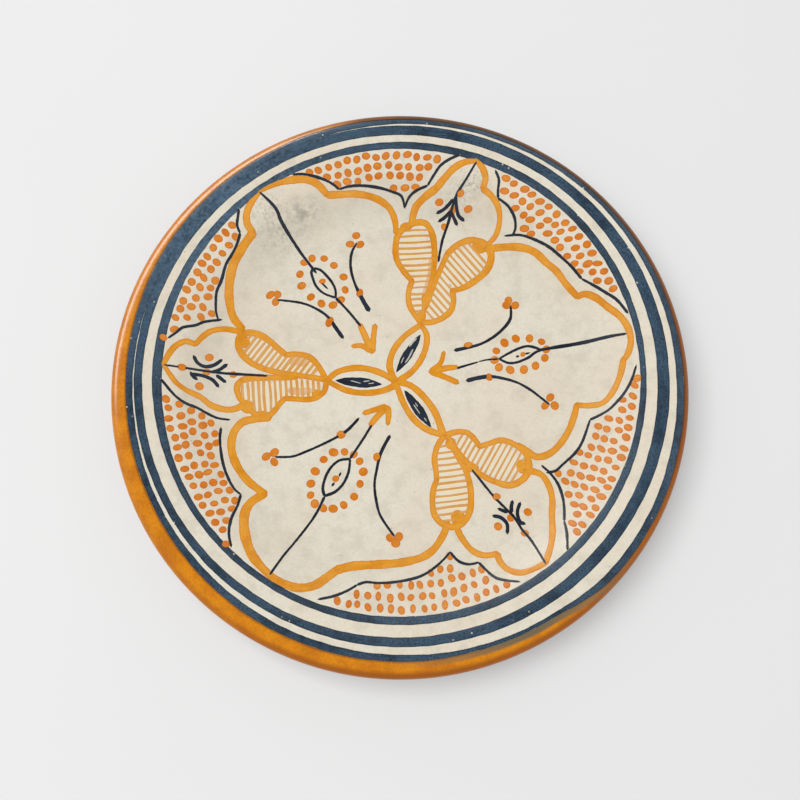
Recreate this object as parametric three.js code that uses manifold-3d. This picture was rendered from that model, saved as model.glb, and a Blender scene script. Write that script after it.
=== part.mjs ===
// A hand-painted earthenware dinner plate, about 27 cm across and 30 mm high.
// A thrown clay body stands on a turned foot ring. Cream glaze covers the face, amber glaze covers the lip
// and the outside, and every brush stroke of the decoration is a thin solid that follows the glazed face.
// Millimetres, +Z up. The origin is the middle of the foot, on the surface that the plate stands on.
import * as THREE from "three";
import { mergeVertices } from "three/addons/utils/BufferGeometryUtils.js";
import Module from "manifold-3d";

const wasm = await Module();
wasm.setup();

// Overall sizes.
const PLATE_RADIUS = 135; // to the outside of the lip
const WELL_RADIUS = 82; // the flat middle
const WELL_HEIGHT = 10.5; // top of the well above the table
const RIM_RISE = 19.4; // from the well up to the crest of the rim
const LIP_REACH = 9; // from the crest out to the edge of the lip
const LIP_DROP = 6.5; // from the crest down to the widest point of the lip
const LIP_UNDER = 3.6; // from the widest point down to the underside of the lip

// The foot and the underside.
const FOOT_RADIUS = 64; // outside of the foot ring
const FOOT_WIDTH = 9;
const FOOT_HEIGHT = 5;
const FOOT_EASE = 0.8; // small chamfer on the foot's lower edges
const UNDER_FLAT_RADIUS = 86; // where the underside begins to rise

// Coats and paint.
const GLAZE = 0.5;
const PAINT = 0.35;
const CLEARANCE = 0.3; // gap kept between neighbouring solids
const GLAZE_SEAM_INSET = 4; // cream glaze ends and amber begins this far in from the edge

// Bands, from the edge of the plate inwards to the middle of each band.
const OUTER_BAND = { inset: 7.8, width: 2.8, shift: [2.5, 1.3] };
const MIDDLE_BAND = { inset: 13.4, width: 3.8, shift: [0.3, 2.9] };
const INNER_BAND = { inset: 21.6, width: 3.1, shift: [-0.3, 4.0] };

// Brush widths.
const BROAD = 3.7; // orange outlines of the large petals
const MEDIUM = 2.9; // orange outlines of buds, almonds and leaves
const ARROW = 3.0;
const HATCH = 1.0;
const HATCH_PITCH = 3.4;
const FINE = 1.3; // cobalt lines
const SEED = { length: 18.6, width: 4.7 };
const BLUNT_END = 0.35; // width of a round end's very tip, as a share of the stroke
const LENS_END = 0.12; // the same for a leaf-shaped stroke
const END_BEND = 0.5; // where a round end has its one bend, as a share of its length

// Fineness of the faceted surfaces.
const TURNS = 64; // facets round the plate
const BRUSH_STEP = 6.5; // longest straight piece of a painted stroke
const LENS_STEPS = 6;
const RISE_STEPS = 8; // facets up the painted wall
const UNDER_STEPS = 4; // facets up the underside of the wall
const LIP_STEPS = 2; // facets in each quarter of the lip
const BAND_STEPS = 2; // facets across a painted band

// The flower was laid out for an inner band of this radius and grows or shrinks with that band.
const DRAWN_BAND_RADIUS = 113.4;
const patternScale = (PLATE_RADIUS - INNER_BAND.inset) / DRAWN_BAND_RADIUS;

const clay = new THREE.MeshStandardMaterial({ color: 0xb5714a, roughness: 0.9, metalness: 0 });
const cream = new THREE.MeshStandardMaterial({ color: 0xe0d7c5, roughness: 0.22, metalness: 0 });
const amber = new THREE.MeshStandardMaterial({ color: 0xd98a1e, roughness: 0.2, metalness: 0 });
const orange = new THREE.MeshStandardMaterial({ color: 0xeb9a33, roughness: 0.25, metalness: 0 });
const cobalt = new THREE.MeshStandardMaterial({ color: 0x2c4257, roughness: 0.25, metalness: 0 });

const plate = new THREE.Group();

// ---- The plate's own surfaces ----

const crestRadius = PLATE_RADIUS - LIP_REACH;
const crestHeight = WELL_HEIGHT + RIM_RISE;
const lipHeight = crestHeight - LIP_DROP;

// An ease-in, ease-out rise from 0 to 1.
const ease = (t) => t * t * (3 - 2 * t);

// Height of the glazed face at a radius: flat well, eased wall, and a quarter ellipse down to the lip.
function faceHeight(radius) {
  if (radius <= WELL_RADIUS) return WELL_HEIGHT;
  if (radius <= crestRadius) {
    return WELL_HEIGHT + RIM_RISE * ease((radius - WELL_RADIUS) / (crestRadius - WELL_RADIUS));
  }
  const out = Math.min(1, (radius - crestRadius) / LIP_REACH);
  return lipHeight + LIP_DROP * Math.sqrt(1 - out * out);
}

// Height of the glazed underside at a radius: level to the rise, then eased up to the bottom of the lip.
function underHeight(radius) {
  const top = lipHeight - LIP_UNDER;
  if (radius <= UNDER_FLAT_RADIUS) return FOOT_HEIGHT;
  const rise = ease((radius - UNDER_FLAT_RADIUS) / (crestRadius - UNDER_FLAT_RADIUS));
  return FOOT_HEIGHT + (top - FOOT_HEIGHT) * rise;
}

// Evenly spaced numbers from start to end, both included.
const spaced = (start, end, steps) =>
  Array.from({ length: steps + 1 }, (_, i) => start + ((end - start) * i) / steps);

// Points of the face from the middle, or from a first radius, out to a last one.
function facePoints(first, last, sink) {
  const breaks = [
    first,
    ...spaced(WELL_RADIUS, crestRadius, RISE_STEPS),
    ...spaced(crestRadius, PLATE_RADIUS, LIP_STEPS + 2),
    last,
  ];
  const radii = [...new Set(breaks.filter((r) => r >= first && r <= last))];
  radii.sort((a, b) => a - b);
  return radii.map((r) => new THREE.Vector2(r, faceHeight(r) - sink));
}

// The rounded outside of the plate, from the seam on the face round the lip and in to the foot.
function wrapPoints(sink) {
  const points = [];
  const seam = PLATE_RADIUS - GLAZE_SEAM_INSET;
  const start = Math.acos((seam - crestRadius) / LIP_REACH);
  for (const angle of spaced(start, 0, LIP_STEPS)) {
    const r = crestRadius + (LIP_REACH - sink) * Math.cos(angle);
    points.push(new THREE.Vector2(r, lipHeight + (LIP_DROP - sink) * Math.sin(angle)));
  }
  for (const angle of spaced(0, -Math.PI / 2, LIP_STEPS).slice(1)) {
    const r = crestRadius + (LIP_REACH - sink) * Math.cos(angle);
    points.push(new THREE.Vector2(r, lipHeight + (LIP_UNDER - sink) * Math.sin(angle)));
  }
  for (const r of spaced(crestRadius, UNDER_FLAT_RADIUS, UNDER_STEPS).slice(1)) {
    points.push(new THREE.Vector2(r, underHeight(r) + sink));
  }
  points.push(new THREE.Vector2(FOOT_RADIUS + CLEARANCE, FOOT_HEIGHT + sink));
  return points;
}

// A closed profile turned about the plate's axis.
function turned(points) {
  const geometry = new THREE.LatheGeometry(points, TURNS);
  geometry.rotateX(Math.PI / 2);
  return solidOf(geometry);
}

// ---- Solids and meshes ----

// A closed geometry as a solid that can be joined and cut.
function solidOf(geometry) {
  geometry.deleteAttribute("normal");
  geometry.deleteAttribute("uv");
  const merged = mergeVertices(geometry, 1e-4);
  const solid = new wasm.Manifold(
    new wasm.Mesh({
      numProp: 3,
      vertProperties: merged.getAttribute("position").array,
      triVerts: new Uint32Array(merged.index.array),
    }),
  );
  return solid;
}

// A solid as a named mesh of the plate.
function place(name, solid, material) {
  const made = solid.getMesh();
  const geometry = new THREE.BufferGeometry();
  geometry.setAttribute("position", new THREE.BufferAttribute(made.vertProperties, 3));
  geometry.setIndex(new THREE.BufferAttribute(made.triVerts, 1));
  geometry.computeVertexNormals();
  const mesh = new THREE.Mesh(geometry, material);
  mesh.name = name;
  plate.add(mesh);
}

const joined = (solids) => solids.reduce((a, b) => a.add(b));

// ---- Brush strokes ----

// Lifts a geometry drawn flat, with its underside at 0, on to the glazed face.
function layOnFace(geometry) {
  const position = geometry.getAttribute("position");
  for (let i = 0; i < position.count; i += 1) {
    const radius = Math.hypot(position.getX(i), position.getY(i));
    position.setZ(i, faceHeight(radius) + CLEARANCE + position.getZ(i));
  }
  return geometry;
}

// Share of the full width at a distance along a stroke with round ends.
function roundEnds(along, length, half) {
  const toEnd = Math.min(along, length - along);
  if (toEnd >= half) return 1;
  const inside = half - toEnd;
  return Math.max(BLUNT_END, Math.sqrt(half * half - inside * inside) / half);
}

// Share of the full width of a leaf-shaped stroke, of one cut off square, and of one straight dash.
const lens = (along, length) => Math.max(LENS_END, Math.sin((Math.PI * along) / length));
const square = () => 1;
const dash = () => 1;

// Where along a stroke its bar bends: at its round ends, and evenly between them.
function bendsAlong(length, half, shape) {
  const bends = Math.max(1, Math.ceil((length - 2 * half) / (BRUSH_STEP * patternScale)));
  if (shape === dash) return [0, length];
  if (shape === square) return spaced(0, length, bends);
  if (shape === lens) return spaced(0, length, LENS_STEPS);
  const tip = half * END_BEND;
  return [0, tip, ...spaced(half, length - half, bends), length - tip, length];
}

// One pull of the brush: a flat bar bent along a smooth line through the points.
function pull(points, width, grow = 0, shape = roundEnds) {
  const line = new THREE.CatmullRomCurve3(
    points.map(([x, y]) => new THREE.Vector3(x * patternScale, y * patternScale, 0)),
    false,
    "centripetal",
  );
  const length = line.getLength();
  const half = (width * patternScale) / 2;
  const stations = bendsAlong(length, half, shape);
  const bar = new THREE.BoxGeometry(1, 1, PAINT + 2 * grow, stations.length - 1, 1, 1);
  const position = bar.getAttribute("position");
  const steps = stations.length - 1;
  for (let i = 0; i < position.count; i += 1) {
    const along = stations[Math.round((position.getX(i) + 0.5) * steps)];
    const at = line.getPointAt(Math.min(1, along / length));
    const heading = line.getTangentAt(Math.min(1, along / length));
    const side = position.getY(i) > 0 ? 1 : -1;
    const reach = side * (half * shape(along, length, half) + grow);
    const z = position.getZ(i) > 0 ? PAINT + grow : -grow;
    const ahead = along === 0 ? -grow : along === length ? grow : 0;
    position.setXYZ(
      i,
      at.x - heading.y * reach + heading.x * ahead,
      at.y + heading.x * reach + heading.y * ahead,
      z,
    );
  }
  return solidOf(layOnFace(bar));
}

// Several pulls of one brush that make a single mark. The cutter is the same mark, larger all round.
function mark(pulls, width, shape = roundEnds) {
  return {
    solid: joined(pulls.map((points) => pull(points, width, 0, shape))),
    cutter: joined(pulls.map((points) => pull(points, width, CLEARANCE, shape))),
  };
}

// Leaves room in one mark for marks that lie over it.
function under(lower, uppers) {
  const solid = uppers.reduce((left, upper) => left.subtract(upper.cutter), lower.solid);
  return { ...lower, solid };
}

// A band turned by hand: a ring about its own centre, laid on the face.
function band({ inset, width, shift }, grow = 0) {
  const radius = PLATE_RADIUS - inset;
  const half = width / 2 + grow;
  const across = spaced(radius - half, radius + half, BAND_STEPS);
  const low = across.map((r) => new THREE.Vector2(r, -grow));
  const high = across.map((r) => new THREE.Vector2(r, PAINT + grow)).reverse();
  const geometry = new THREE.LatheGeometry([...low, ...high, low[0]], TURNS);
  geometry.rotateX(Math.PI / 2);
  geometry.translate(shift[0], shift[1], 0);
  return solidOf(layOnFace(geometry));
}

const bandMark = (sizes) => ({ solid: band(sizes), cutter: band(sizes, CLEARANCE) });

// ---- Body, foot and coats ----

function makeBody() {
  const sink = GLAZE + CLEARANCE;
  const top = facePoints(0, PLATE_RADIUS - GLAZE_SEAM_INSET, sink).reverse();
  const outside = wrapPoints(sink).reverse();
  const middle = new THREE.Vector2(0, FOOT_HEIGHT + sink);
  place("clay_body", turned([middle, ...outside, ...top.slice(1)]), clay);
}

function makeFoot() {
  const inner = FOOT_RADIUS - FOOT_WIDTH;
  const profile = [
    [inner + FOOT_EASE, 0],
    [FOOT_RADIUS - FOOT_EASE, 0],
    [FOOT_RADIUS, FOOT_EASE],
    [FOOT_RADIUS, FOOT_HEIGHT + GLAZE],
    [inner, FOOT_HEIGHT + GLAZE],
    [inner, FOOT_EASE],
    [inner + FOOT_EASE, 0],
  ];
  place("foot_ring", turned(profile.map(([r, z]) => new THREE.Vector2(r, z))), clay);
}

function makeFaceGlaze() {
  const seam = PLATE_RADIUS - GLAZE_SEAM_INSET - CLEARANCE;
  const top = facePoints(0, seam, 0);
  const bottom = facePoints(0, seam, GLAZE);
  place("face_glaze", turned([...bottom, ...top.reverse()]), cream);
}

function makeAmberGlaze() {
  const outside = wrapPoints(0).reverse();
  const inside = wrapPoints(GLAZE);
  place("amber_glaze", turned([...outside, ...inside, outside[0]]), amber);
}

// ---- The painted flower, in millimetres from the middle ----

// Three orange almonds meet in the middle. Each is two pulls, one for each side.
const ALMOND_PULLS = [
  [[-34.5, 3.8], [-30, 8], [-20, 10], [-10, 7.8], [-2.5, 3.5]],
  [[-34.5, 3.4], [-26, -1], [-17, -2.4], [-8, -1.2], [-1, 2]],
  [[-2, 3], [-5, 10.5], [-3.2, 18.5], [2, 25.5], [10, 31.5]],
  [[-1, 3.5], [5, 7.5], [9.8, 13.5], [12.8, 21.5], [12.8, 27], [10.6, 31]],
  [[-1.5, 3.2], [5, 1.3], [12, -5], [17, -12.5], [20.5, -22.5]],
  [[-2, 3], [-0.6, -1.5], [2, -8], [6, -14.5], [12, -19.8], [20, -22.8]],
];

const SEEDS = {
  seed_w: { middle: [-19.8, 2.9], angle: -5 },
  seed_n: { middle: [4.1, 17.2], angle: 58 },
  seed_se: { middle: [8.5, -10.2], angle: -55 },
};

// Each forked pair of leaves: its outline pulls, and for each leaf the line of its hatching.
const LEAVES = {
  leaves_w: {
    outline: [
      [[-35.5, 4.2], [-40.3, 12.2], [-44.5, 15.7], [-50, 16.8], [-55, 16.4]],
      [[-55, 16.4], [-58.5, 19.2], [-62.7, 23], [-67.6, 26.2], [-73.2, 27.6], [-77.4, 26], [-78.4, 21.3],
        [-76, 16.4], [-71.4, 12.2], [-65, 9.3]],
      [[-65, 9.3], [-58, 7.6], [-50, 6.4], [-42, 5.2], [-35.5, 4]],
      [[-35.5, 3.8], [-36.1, -1.1], [-39.4, -4.4], [-44.5, -5.6], [-50, -5.3], [-55, -5]],
      [[-55, -5], [-57.4, -7.4], [-59.9, -10.9], [-63, -13.6], [-69, -12.8], [-73.2, -8.8], [-77.2, -4],
        [-78.3, 0.8], [-76, 4], [-70, 5], [-60, 5.2], [-50, 5.4]],
    ],
    hatching: [
      { from: [-43, 10.5], to: [-72, 21], reach: [4, 4, 5, 6, 7, 7.6, 7.4, 7, 6.6], tilt: 20 },
      { from: [-41, 0.6], to: [-73, -2.4], reach: [4, 5, 5, 5, 5.6, 7.5, 9, 9.4, 7.5, 6], tilt: 0 },
    ],
  },
  leaves_n: {
    outline: [
      [[10, 32.6], [6.9, 37], [4.5, 42], [4.2, 47.8], [5.9, 54]],
      [[5.9, 54], [1.7, 59], [-1.7, 65.3], [-2.1, 73], [-0.7, 78.4], [3.5, 82.2], [8, 84.2], [12.6, 83.8],
        [15.4, 80], [16.8, 73.7], [17.1, 67], [16, 56], [13.6, 47.8], [12, 40.8], [10.6, 34]],
      [[10.4, 33], [14.3, 32.7], [19.9, 34.5], [24.8, 38.7], [26.2, 44.3], [25.5, 48.8]],
      [[25.5, 48.8], [31.1, 50.4], [37, 54.1], [42.3, 59], [44.8, 64.6], [44.4, 70], [40.9, 73.7],
        [35.3, 75],
        [29, 73], [23.4, 68], [20.3, 61], [17.5, 54], [15, 47], [12.4, 40]],
    ],
    hatching: [
      { from: [8.6, 41], to: [7.2, 79], reach: [4, 4.4, 4.8, 5.6, 7.6, 9.2, 9.4, 9, 8.6, 8], tilt: 0 },
      { from: [17.5, 39.5], to: [37, 68.5], reach: [5.5, 5.8, 5.5, 6.6, 8.4, 9, 9.2, 8.6, 7.6], tilt: 8 },
    ],
  },
  leaves_se: {
    outline: [
      [[21.6, -23], [27, -21.4], [32, -21.8], [36, -25.7], [37.7, -28.5]],
      [[37.7, -28.5], [42.3, -27], [48, -25.4], [54, -27.2], [59.3, -31.3], [61, -36], [60.3, -41],
        [56.7, -45], [51.3, -46.9], [44, -45], [37.3, -41.3], [31, -35.3], [26, -29], [22.4, -23.6]],
      [[21, -23.4], [17.7, -28.3], [16.3, -34.3], [17, -40.3], [17.3, -44.3]],
      [[17.3, -44.3], [15.7, -49], [15.2, -55.3], [16.3, -61], [19.7, -65], [24.3, -66.4], [29.3, -64.7],
        [32.7, -59], [33.4, -51.7], [32.8, -45.7], [30.7, -39], [27.3, -33], [23, -25.4]],
    ],
    hatching: [
      { from: [31, -28.6], to: [55, -37.5], reach: [4.6, 4.8, 5.8, 7.4, 8.4, 8.8, 8.6, 7], tilt: -8 },
      { from: [21, -31], to: [24.4, -62], reach: [4, 5.4, 6.2, 7, 7.6, 8, 8.4, 8.6, 8.2, 6.6], tilt: 0 },
    ],
  },
};

// The outlines of the large and the small petals, broken where the painter lifted at a cusp.
const PETALS = {
  petal_nw: [
    [[-76.6, 29.6], [-81, 35], [-82.8, 42], [-82.9, 50], [-81.6, 57.5], [-79.1, 63.8],
      [-75, 70.5], [-71.5, 75.5]],
    [[-71.5, 75.5], [-74, 78.7], [-74.3, 83], [-72.4, 87.9], [-67.6, 92.6]],
    [[-67.6, 92.6], [-62, 96.4], [-55, 99.2], [-47, 101.2], [-40.8, 99.9], [-35.7, 95.5]],
    [[-35.7, 95.5], [-30, 96.1], [-22.1, 96.8], [-14, 95.8], [-8.5, 93.6], [-4.9, 90.6],
      [-2.6, 85.6], [-2, 79]],
  ],
  petal_e: [
    [[44.4, 70.6], [52, 71.1], [59.8, 70.2], [66.1, 67.4], [71.7, 61.8], [76.3, 57.4], [80.7, 50.9],
      [86, 44.2]],
    [[86, 44.2], [89.1, 45], [94, 42.5], [99.3, 37.2], [104.5, 32], [108, 25.7], [108.6, 19.4],
      [107.2, 13.1],
      [105.6, 11.4]],
    [[105.6, 11.4], [104.2, 4.7], [100.7, -3.4], [96.1, -8.3], [90.2, -9], [84.6, -8.3]],
    [[84.6, -8.3], [82.8, -14.6], [80.4, -20.5], [76.2, -27], [70.9, -31.8], [65, -33.4],
      [60, -30.6], [56, -28]],
  ],
  petal_sw: [
    [[-62.6, -15], [-69.6, -15.2], [-75, -16.7], [-78.8, -21.1], [-80, -26.8], [-79.1, -32.9],
      [-75.9, -39.5],
      [-70.9, -45.5], [-63.6, -50.9]],
    [[-63.6, -50.9], [-69, -54.4], [-71.8, -58.8], [-72.1, -65.8], [-70.5, -73.1], [-67.4, -80],
      [-62.6, -85.8],
      [-58, -89]],
    [[-58, -89], [-53.1, -91.4], [-46.2, -94], [-38.9, -93.2], [-33.5, -89.9], [-29.1, -86.4]],
    [[-29.1, -86.4], [-23, -84.8], [-17.7, -84.2], [-10, -83.8], [0, -83], [10.7, -80.3], [15.7, -76.7],
      [19.7, -71], [22.4, -65]],
  ],
};

const BUDS = {
  bud_w: [
    [[-76, 27.6], [-84.4, 29], [-91, 27.2], [-94.9, 23.8], [-97.7, 19.9]],
    [[-97.7, 19.9], [-101.9, 20.6], [-106.1, 17.8], [-109, 13.2], [-110, 8.3]],
    [[-110, 8.3], [-108.6, 4.5], [-105.4, 0.3], [-100.9, -2.8], [-94.9, -5.3], [-90, -8.8], [-83.7, -10.5],
      [-78.8, -10.2], [-74, -7.6]],
  ],
  bud_n: [
    [[5.6, 83], [7.7, 91.2], [12.2, 95.7], [17.8, 99.2]],
    [[17.8, 99.2], [22.4, 103.8], [26.6, 107.4], [32, 109.2], [37, 109]],
    [[37, 109], [40.4, 106.2], [41.8, 101.9], [40.6, 97.8]],
    [[40.6, 97.8], [45.1, 94], [48.3, 89], [49, 82.8], [47.2, 76.8], [42.8, 72]],
  ],
  bud_se: [
    [[60.8, -39.4], [66.3, -41.6], [70, -47], [71.3, -54], [70.7, -60.3], [70.3, -69], [69, -75.7],
      [66, -83.2]],
    [[66, -83.2], [60.3, -86.4], [54, -87.6], [48.7, -86], [45.7, -82], [45, -79]],
    [[45, -79], [39.3, -79.7], [34, -77.7], [29.7, -73], [27, -68], [26, -64.6]],
  ],
};

const ARROWS = {
  arrow_nw: [
    [[-12.4, 30.4], [-13, 24], [-13.8, 18]],
    [[-18.5, 30.4], [-16, 24], [-14.2, 18.5]],
    [[-22.5, 21], [-18.5, 21], [-14.4, 18.5]],
  ],
  arrow_e: [
    [[21, 17.4], [19.6, 12.4], [15.6, 8.4]],
    [[26.6, 9.8], [21, 9.3], [15, 8]],
    [[27.5, 2.8], [21.8, 5.2], [15.4, 8]],
  ],
  arrow_sw: [
    [[-17, -12.1], [-12, -10.8], [-7, -9.4]],
    [[-14, -17.6], [-11, -13.8], [-6.6, -9.6]],
    [[-5.8, -17], [-5.7, -13.2], [-6.4, -9.6]],
  ],
};

const EYES = {
  eye_nw: [
    [[-31.5, 45.3], [-31.6, 49], [-33, 52.5], [-36, 56.5], [-39.5, 59.7], [-42.6, 60.4]],
    [[-31.5, 45.3], [-37.6, 47.7], [-41.1, 51.2], [-42.7, 55], [-43.6, 58.5], [-42.6, 60.4]],
  ],
  eye_e: [
    [[47.8, 14.5], [52.7, 17.3], [57.6, 19.7], [61.8, 20.8], [66, 19.9], [68, 18.7]],
    [[47.8, 14.5], [52, 12.5], [56.2, 12.7], [62.2, 15.2], [65.3, 17.6], [68, 18.7]],
  ],
  eye_sw: [
    [[-23.7, -34.4], [-28.5, -35], [-32.2, -37.9], [-35.1, -43], [-36.3, -48.7], [-35.4, -51.9]],
    [[-23.7, -34.4], [-23.8, -37.5], [-24.6, -41.7], [-27.2, -46.8], [-31, -50.3], [-35.4, -51.9]],
  ],
};

// Cobalt lines on each side of an eye: out to the petal's tip, and in to the arrowhead.
const SPINES = {
  spine_outer_nw: [[-67, 92.4], [-60.6, 87.3], [-58.2, 82.2], [-50, 69.9], [-43, 61.2]],
  spine_outer_e: [[106.5, 23.4], [100, 23.3], [90, 22.2], [80, 21], [68.4, 18.8]],
  spine_outer_sw: [[-58.4, -88.4], [-53.8, -80.4], [-48.7, -73.4], [-39.5, -60.7], [-35.6, -52.4]],
  spine_inner_nw: [[-31, 44.8], [-25, 38.2], [-19.4, 31]],
  spine_inner_e: [[47.2, 14.4], [40, 13.6], [27.4, 9.8]],
  spine_inner_sw: [[-23.4, -34], [-20.5, -29.4], [-17, -24], [-14, -18.4]],
};

const STEMS = {
  stem_nw_a: [[-15, 38.5], [-19.3, 46.2], [-23, 55], [-24.4, 62.6], [-23.7, 68.9], [-21.4, 73.7]],
  stem_nw_b: [[-27.6, 24.8], [-31, 29.7], [-35.4, 35.8], [-41.1, 39.8], [-48.1, 42.6], [-58.5, 44.3]],
  stem_e_a: [[26.5, 18.7], [33.1, 20.2], [38.4, 21.6], [43.8, 24.4], [49.8, 29.2], [53.8, 34.8], [54, 40]],
  stem_e_b: [[32, 3.6], [38, 5.1], [43.6, 5.7], [49.9, 4.7], [56.1, 2.8], [62.2, -0.6], [70.8, -7.6]],
  stem_sw_a: [[-19.7, -14.8], [-24.3, -19.9], [-28, -22.7], [-35, -26.5], [-44.9, -31], [-51, -33.2],
    [-57.9, -33.2]],
  stem_sw_b: [[-4.8, -23.2], [-9, -31.3], [-11, -39.5], [-12, -46.2], [-11.3, -53.2], [-9.4, -60.7],
    [-5.6, -67]],
};

const BUD_SPINES = {
  bud_spine_w: [[-108.6, 8], [-97, 7.8], [-80, 7], [-69, 6.4]],
  bud_spine_n: [[36.2, 107.6], [32.9, 103], [27.6, 95.4], [23.8, 83.5], [20.8, 74.5], [18.9, 64]],
  bud_spine_se: [[34, -39.5], [38, -44.6], [49, -57.4], [57, -68], [60.3, -72.6], [65.4, -82]],
};

const CONTOURS = {
  contour_n: [
    [[-47, 103.4], [-38, 102.1], [-32.9, 100.2], [-30, 98.3]],
    [[-30, 98.3], [-24.6, 99.9], [-17.7, 100.4], [-9.5, 99.6], [-3.9, 98.2], [0.7, 96.3], [2.4, 92.6]],
    [[2.4, 92.6], [4.2, 95.4], [7.3, 98.2], [13.6, 100.6]],
    [[13.6, 100.6], [16.4, 104.5], [19.9, 108.7], [24.8, 111.4]],
  ],
  contour_ne: [
    [[47.2, 103.6], [48.2, 101], [47.9, 96.1], [48.1, 93]],
    [[48.1, 93], [52.8, 89.3], [56, 84.2], [56.7, 79.3], [56, 76]],
    [[53, 76.4], [58.4, 76.1], [64.7, 73.7], [72.4, 69.1], [78, 63.9], [83.2, 58.4], [87.7, 52.2]],
    [[87.7, 52.2], [93, 48.4], [98.2, 44.2], [103.1, 40], [106, 36.2]],
  ],
  contour_ese: [
    [[109.6, 4.6], [108.8, 1.4], [105.6, -4.4], [101.7, -9], [97.8, -12.4], [90.2, -16]],
    [[90.2, -16], [88.6, -20.5], [86, -27], [82.8, -31.7], [76.7, -37.2], [73.5, -40], [70, -40.6]],
    [[69, -39.6], [71.4, -41.8], [74.3, -46.5], [76, -53], [76.2, -59.7], [75.7, -64.3]],
    [[75.7, -64.3], [76.3, -69.7], [76.2, -74.6]],
  ],
  contour_s: [
    [[51.5, -92.2], [44, -90], [39.3, -86.3], [36.3, -82.9]],
    [[36.3, -82.9], [32, -83.8], [27.3, -82.4], [23.3, -78]],
    [[23.3, -78], [20.3, -81.4], [16.3, -85], [10, -89], [0, -91.6], [-10, -92.4], [-15.8, -92],
      [-19.6, -93.3]],
    [[-19.6, -93.3], [-24.6, -96.3], [-30.3, -98.2]],
  ],
  contour_sw: [
    [[-77.4, -73], [-78.2, -70.2], [-77.8, -63.3], [-75.6, -56.9], [-74.5, -51.5]],
    [[-74.5, -51.5], [-77.2, -49.3], [-80.1, -44.9], [-83.2, -37.3], [-84.8, -29.7], [-85.3, -24],
      [-84.4, -15.4]],
    [[-82, -15.4], [-87.2, -14.8], [-92.1, -12.7], [-96.3, -10.6], [-100.8, -9.2], [-105.4, -6.2],
      [-108, -3.4]],
  ],
  contour_nw: [
    [[-108.2, 22], [-106.4, 23.8], [-103.3, 26.9], [-97.7, 29], [-94.2, 31.1], [-88, 33.6]],
    [[-88, 33.6], [-88.9, 36.7], [-89, 40.2], [-88.6, 46.1], [-86.4, 51.8], [-84.2, 59.4], [-81, 65.1],
      [-78.8, 69.9], [-77.5, 74.3]],
    [[-77.5, 74.3], [-78.8, 77.8], [-78.8, 80.6]],
  ],
};

// The hatching bars of one leaf, across the line from its stalk to its far end.
function hatchPulls({ from, to, reach, tilt }) {
  const axis = new THREE.Vector2(to[0] - from[0], to[1] - from[1]);
  const across = axis.clone().normalize();
  across.rotateAround(new THREE.Vector2(), THREE.MathUtils.degToRad(90 + tilt));
  const bars = Math.round(axis.length() / HATCH_PITCH);
  return spaced(0, 1, bars).map((share) => {
    const spot = share * (reach.length - 1);
    const low = Math.min(reach.length - 2, Math.floor(spot));
    const half = reach[low] + (reach[low + 1] - reach[low]) * (spot - low);
    const x = from[0] + axis.x * share;
    const y = from[1] + axis.y * share;
    return [
      [x - across.x * half, y - across.y * half],
      [x + across.x * half, y + across.y * half],
    ];
  });
}

function leafMark({ outline, hatching }) {
  const rim = mark(outline, MEDIUM);
  const bars = mark(hatching.flatMap(hatchPulls), HATCH, dash);
  return { solid: rim.solid.add(bars.solid), cutter: rim.cutter.add(bars.cutter) };
}

function seedMark({ middle, angle }) {
  const turn = (angle * Math.PI) / 180;
  const reach = [Math.cos(turn) * (SEED.length / 2), Math.sin(turn) * (SEED.length / 2)];
  const ends = [-1, 0, 1].map((side) => [middle[0] + side * reach[0], middle[1] + side * reach[1]]);
  return mark([ends], SEED.width, lens);
}

// Every mark of a set, by name.
function marks(set, make) {
  return Object.fromEntries(Object.entries(set).map(([name, data]) => [name, make(data)]));
}

function trimAll(set, uppers) {
  return Object.fromEntries(Object.entries(set).map(([name, lower]) => [name, under(lower, uppers)]));
}

function paintFlower(bands) {
  const leaves = marks(LEAVES, leafMark);
  const overLeaves = Object.values(leaves);
  const petals = trimAll(marks(PETALS, (pulls) => mark(pulls, BROAD)), overLeaves);
  const overPetals = Object.values(petals);
  const buds = trimAll(marks(BUDS, (pulls) => mark(pulls, MEDIUM)), [...overLeaves, ...overPetals]);
  const arrows = marks(ARROWS, (pulls) => mark(pulls, ARROW));
  const eyes = marks(EYES, (pulls) => mark(pulls, FINE, square));
  const outlines = [...overLeaves, ...overPetals, ...Object.values(buds)];
  const overSpines = [...outlines, ...Object.values(arrows), ...Object.values(eyes)];
  const line = (pulls) => mark([pulls], FINE, square);
  const edging = (pulls) => mark(pulls, FINE, square);
  const sets = [
    { almond_trefoil: under(mark(ALMOND_PULLS, MEDIUM), overLeaves) },
    marks(SEEDS, seedMark),
    leaves,
    petals,
    buds,
    arrows,
    eyes,
    trimAll(marks(SPINES, line), overSpines),
    trimAll(marks(STEMS, line), overSpines),
    trimAll(marks(BUD_SPINES, line), overSpines),
    trimAll(marks(CONTOURS, edging), [...outlines, bands.band_inner]),
  ];
  const blue = /^(seed|eye|spine|stem|bud_spine|contour)/;
  for (const set of sets) {
    for (const [name, { solid }] of Object.entries(set)) {
      place(name, solid, blue.test(name) ? cobalt : orange);
    }
  }
  return outlines;
}

function paintBands() {
  const bands = {
    band_inner: bandMark(INNER_BAND),
    band_middle: bandMark(MIDDLE_BAND),
    band_outer: bandMark(OUTER_BAND),
  };
  const outlines = paintFlower(bands);
  const overInner = [...outlines, bands.band_middle, bands.band_outer];
  place("band_inner", under(bands.band_inner, overInner).solid, cobalt);
  place("band_middle", under(bands.band_middle, [bands.band_outer]).solid, cobalt);
  place("band_outer", bands.band_outer.solid, cobalt);
}

makeBody();
makeFoot();
makeFaceGlaze();
makeAmberGlaze();
paintBands();

export default plate;
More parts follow.
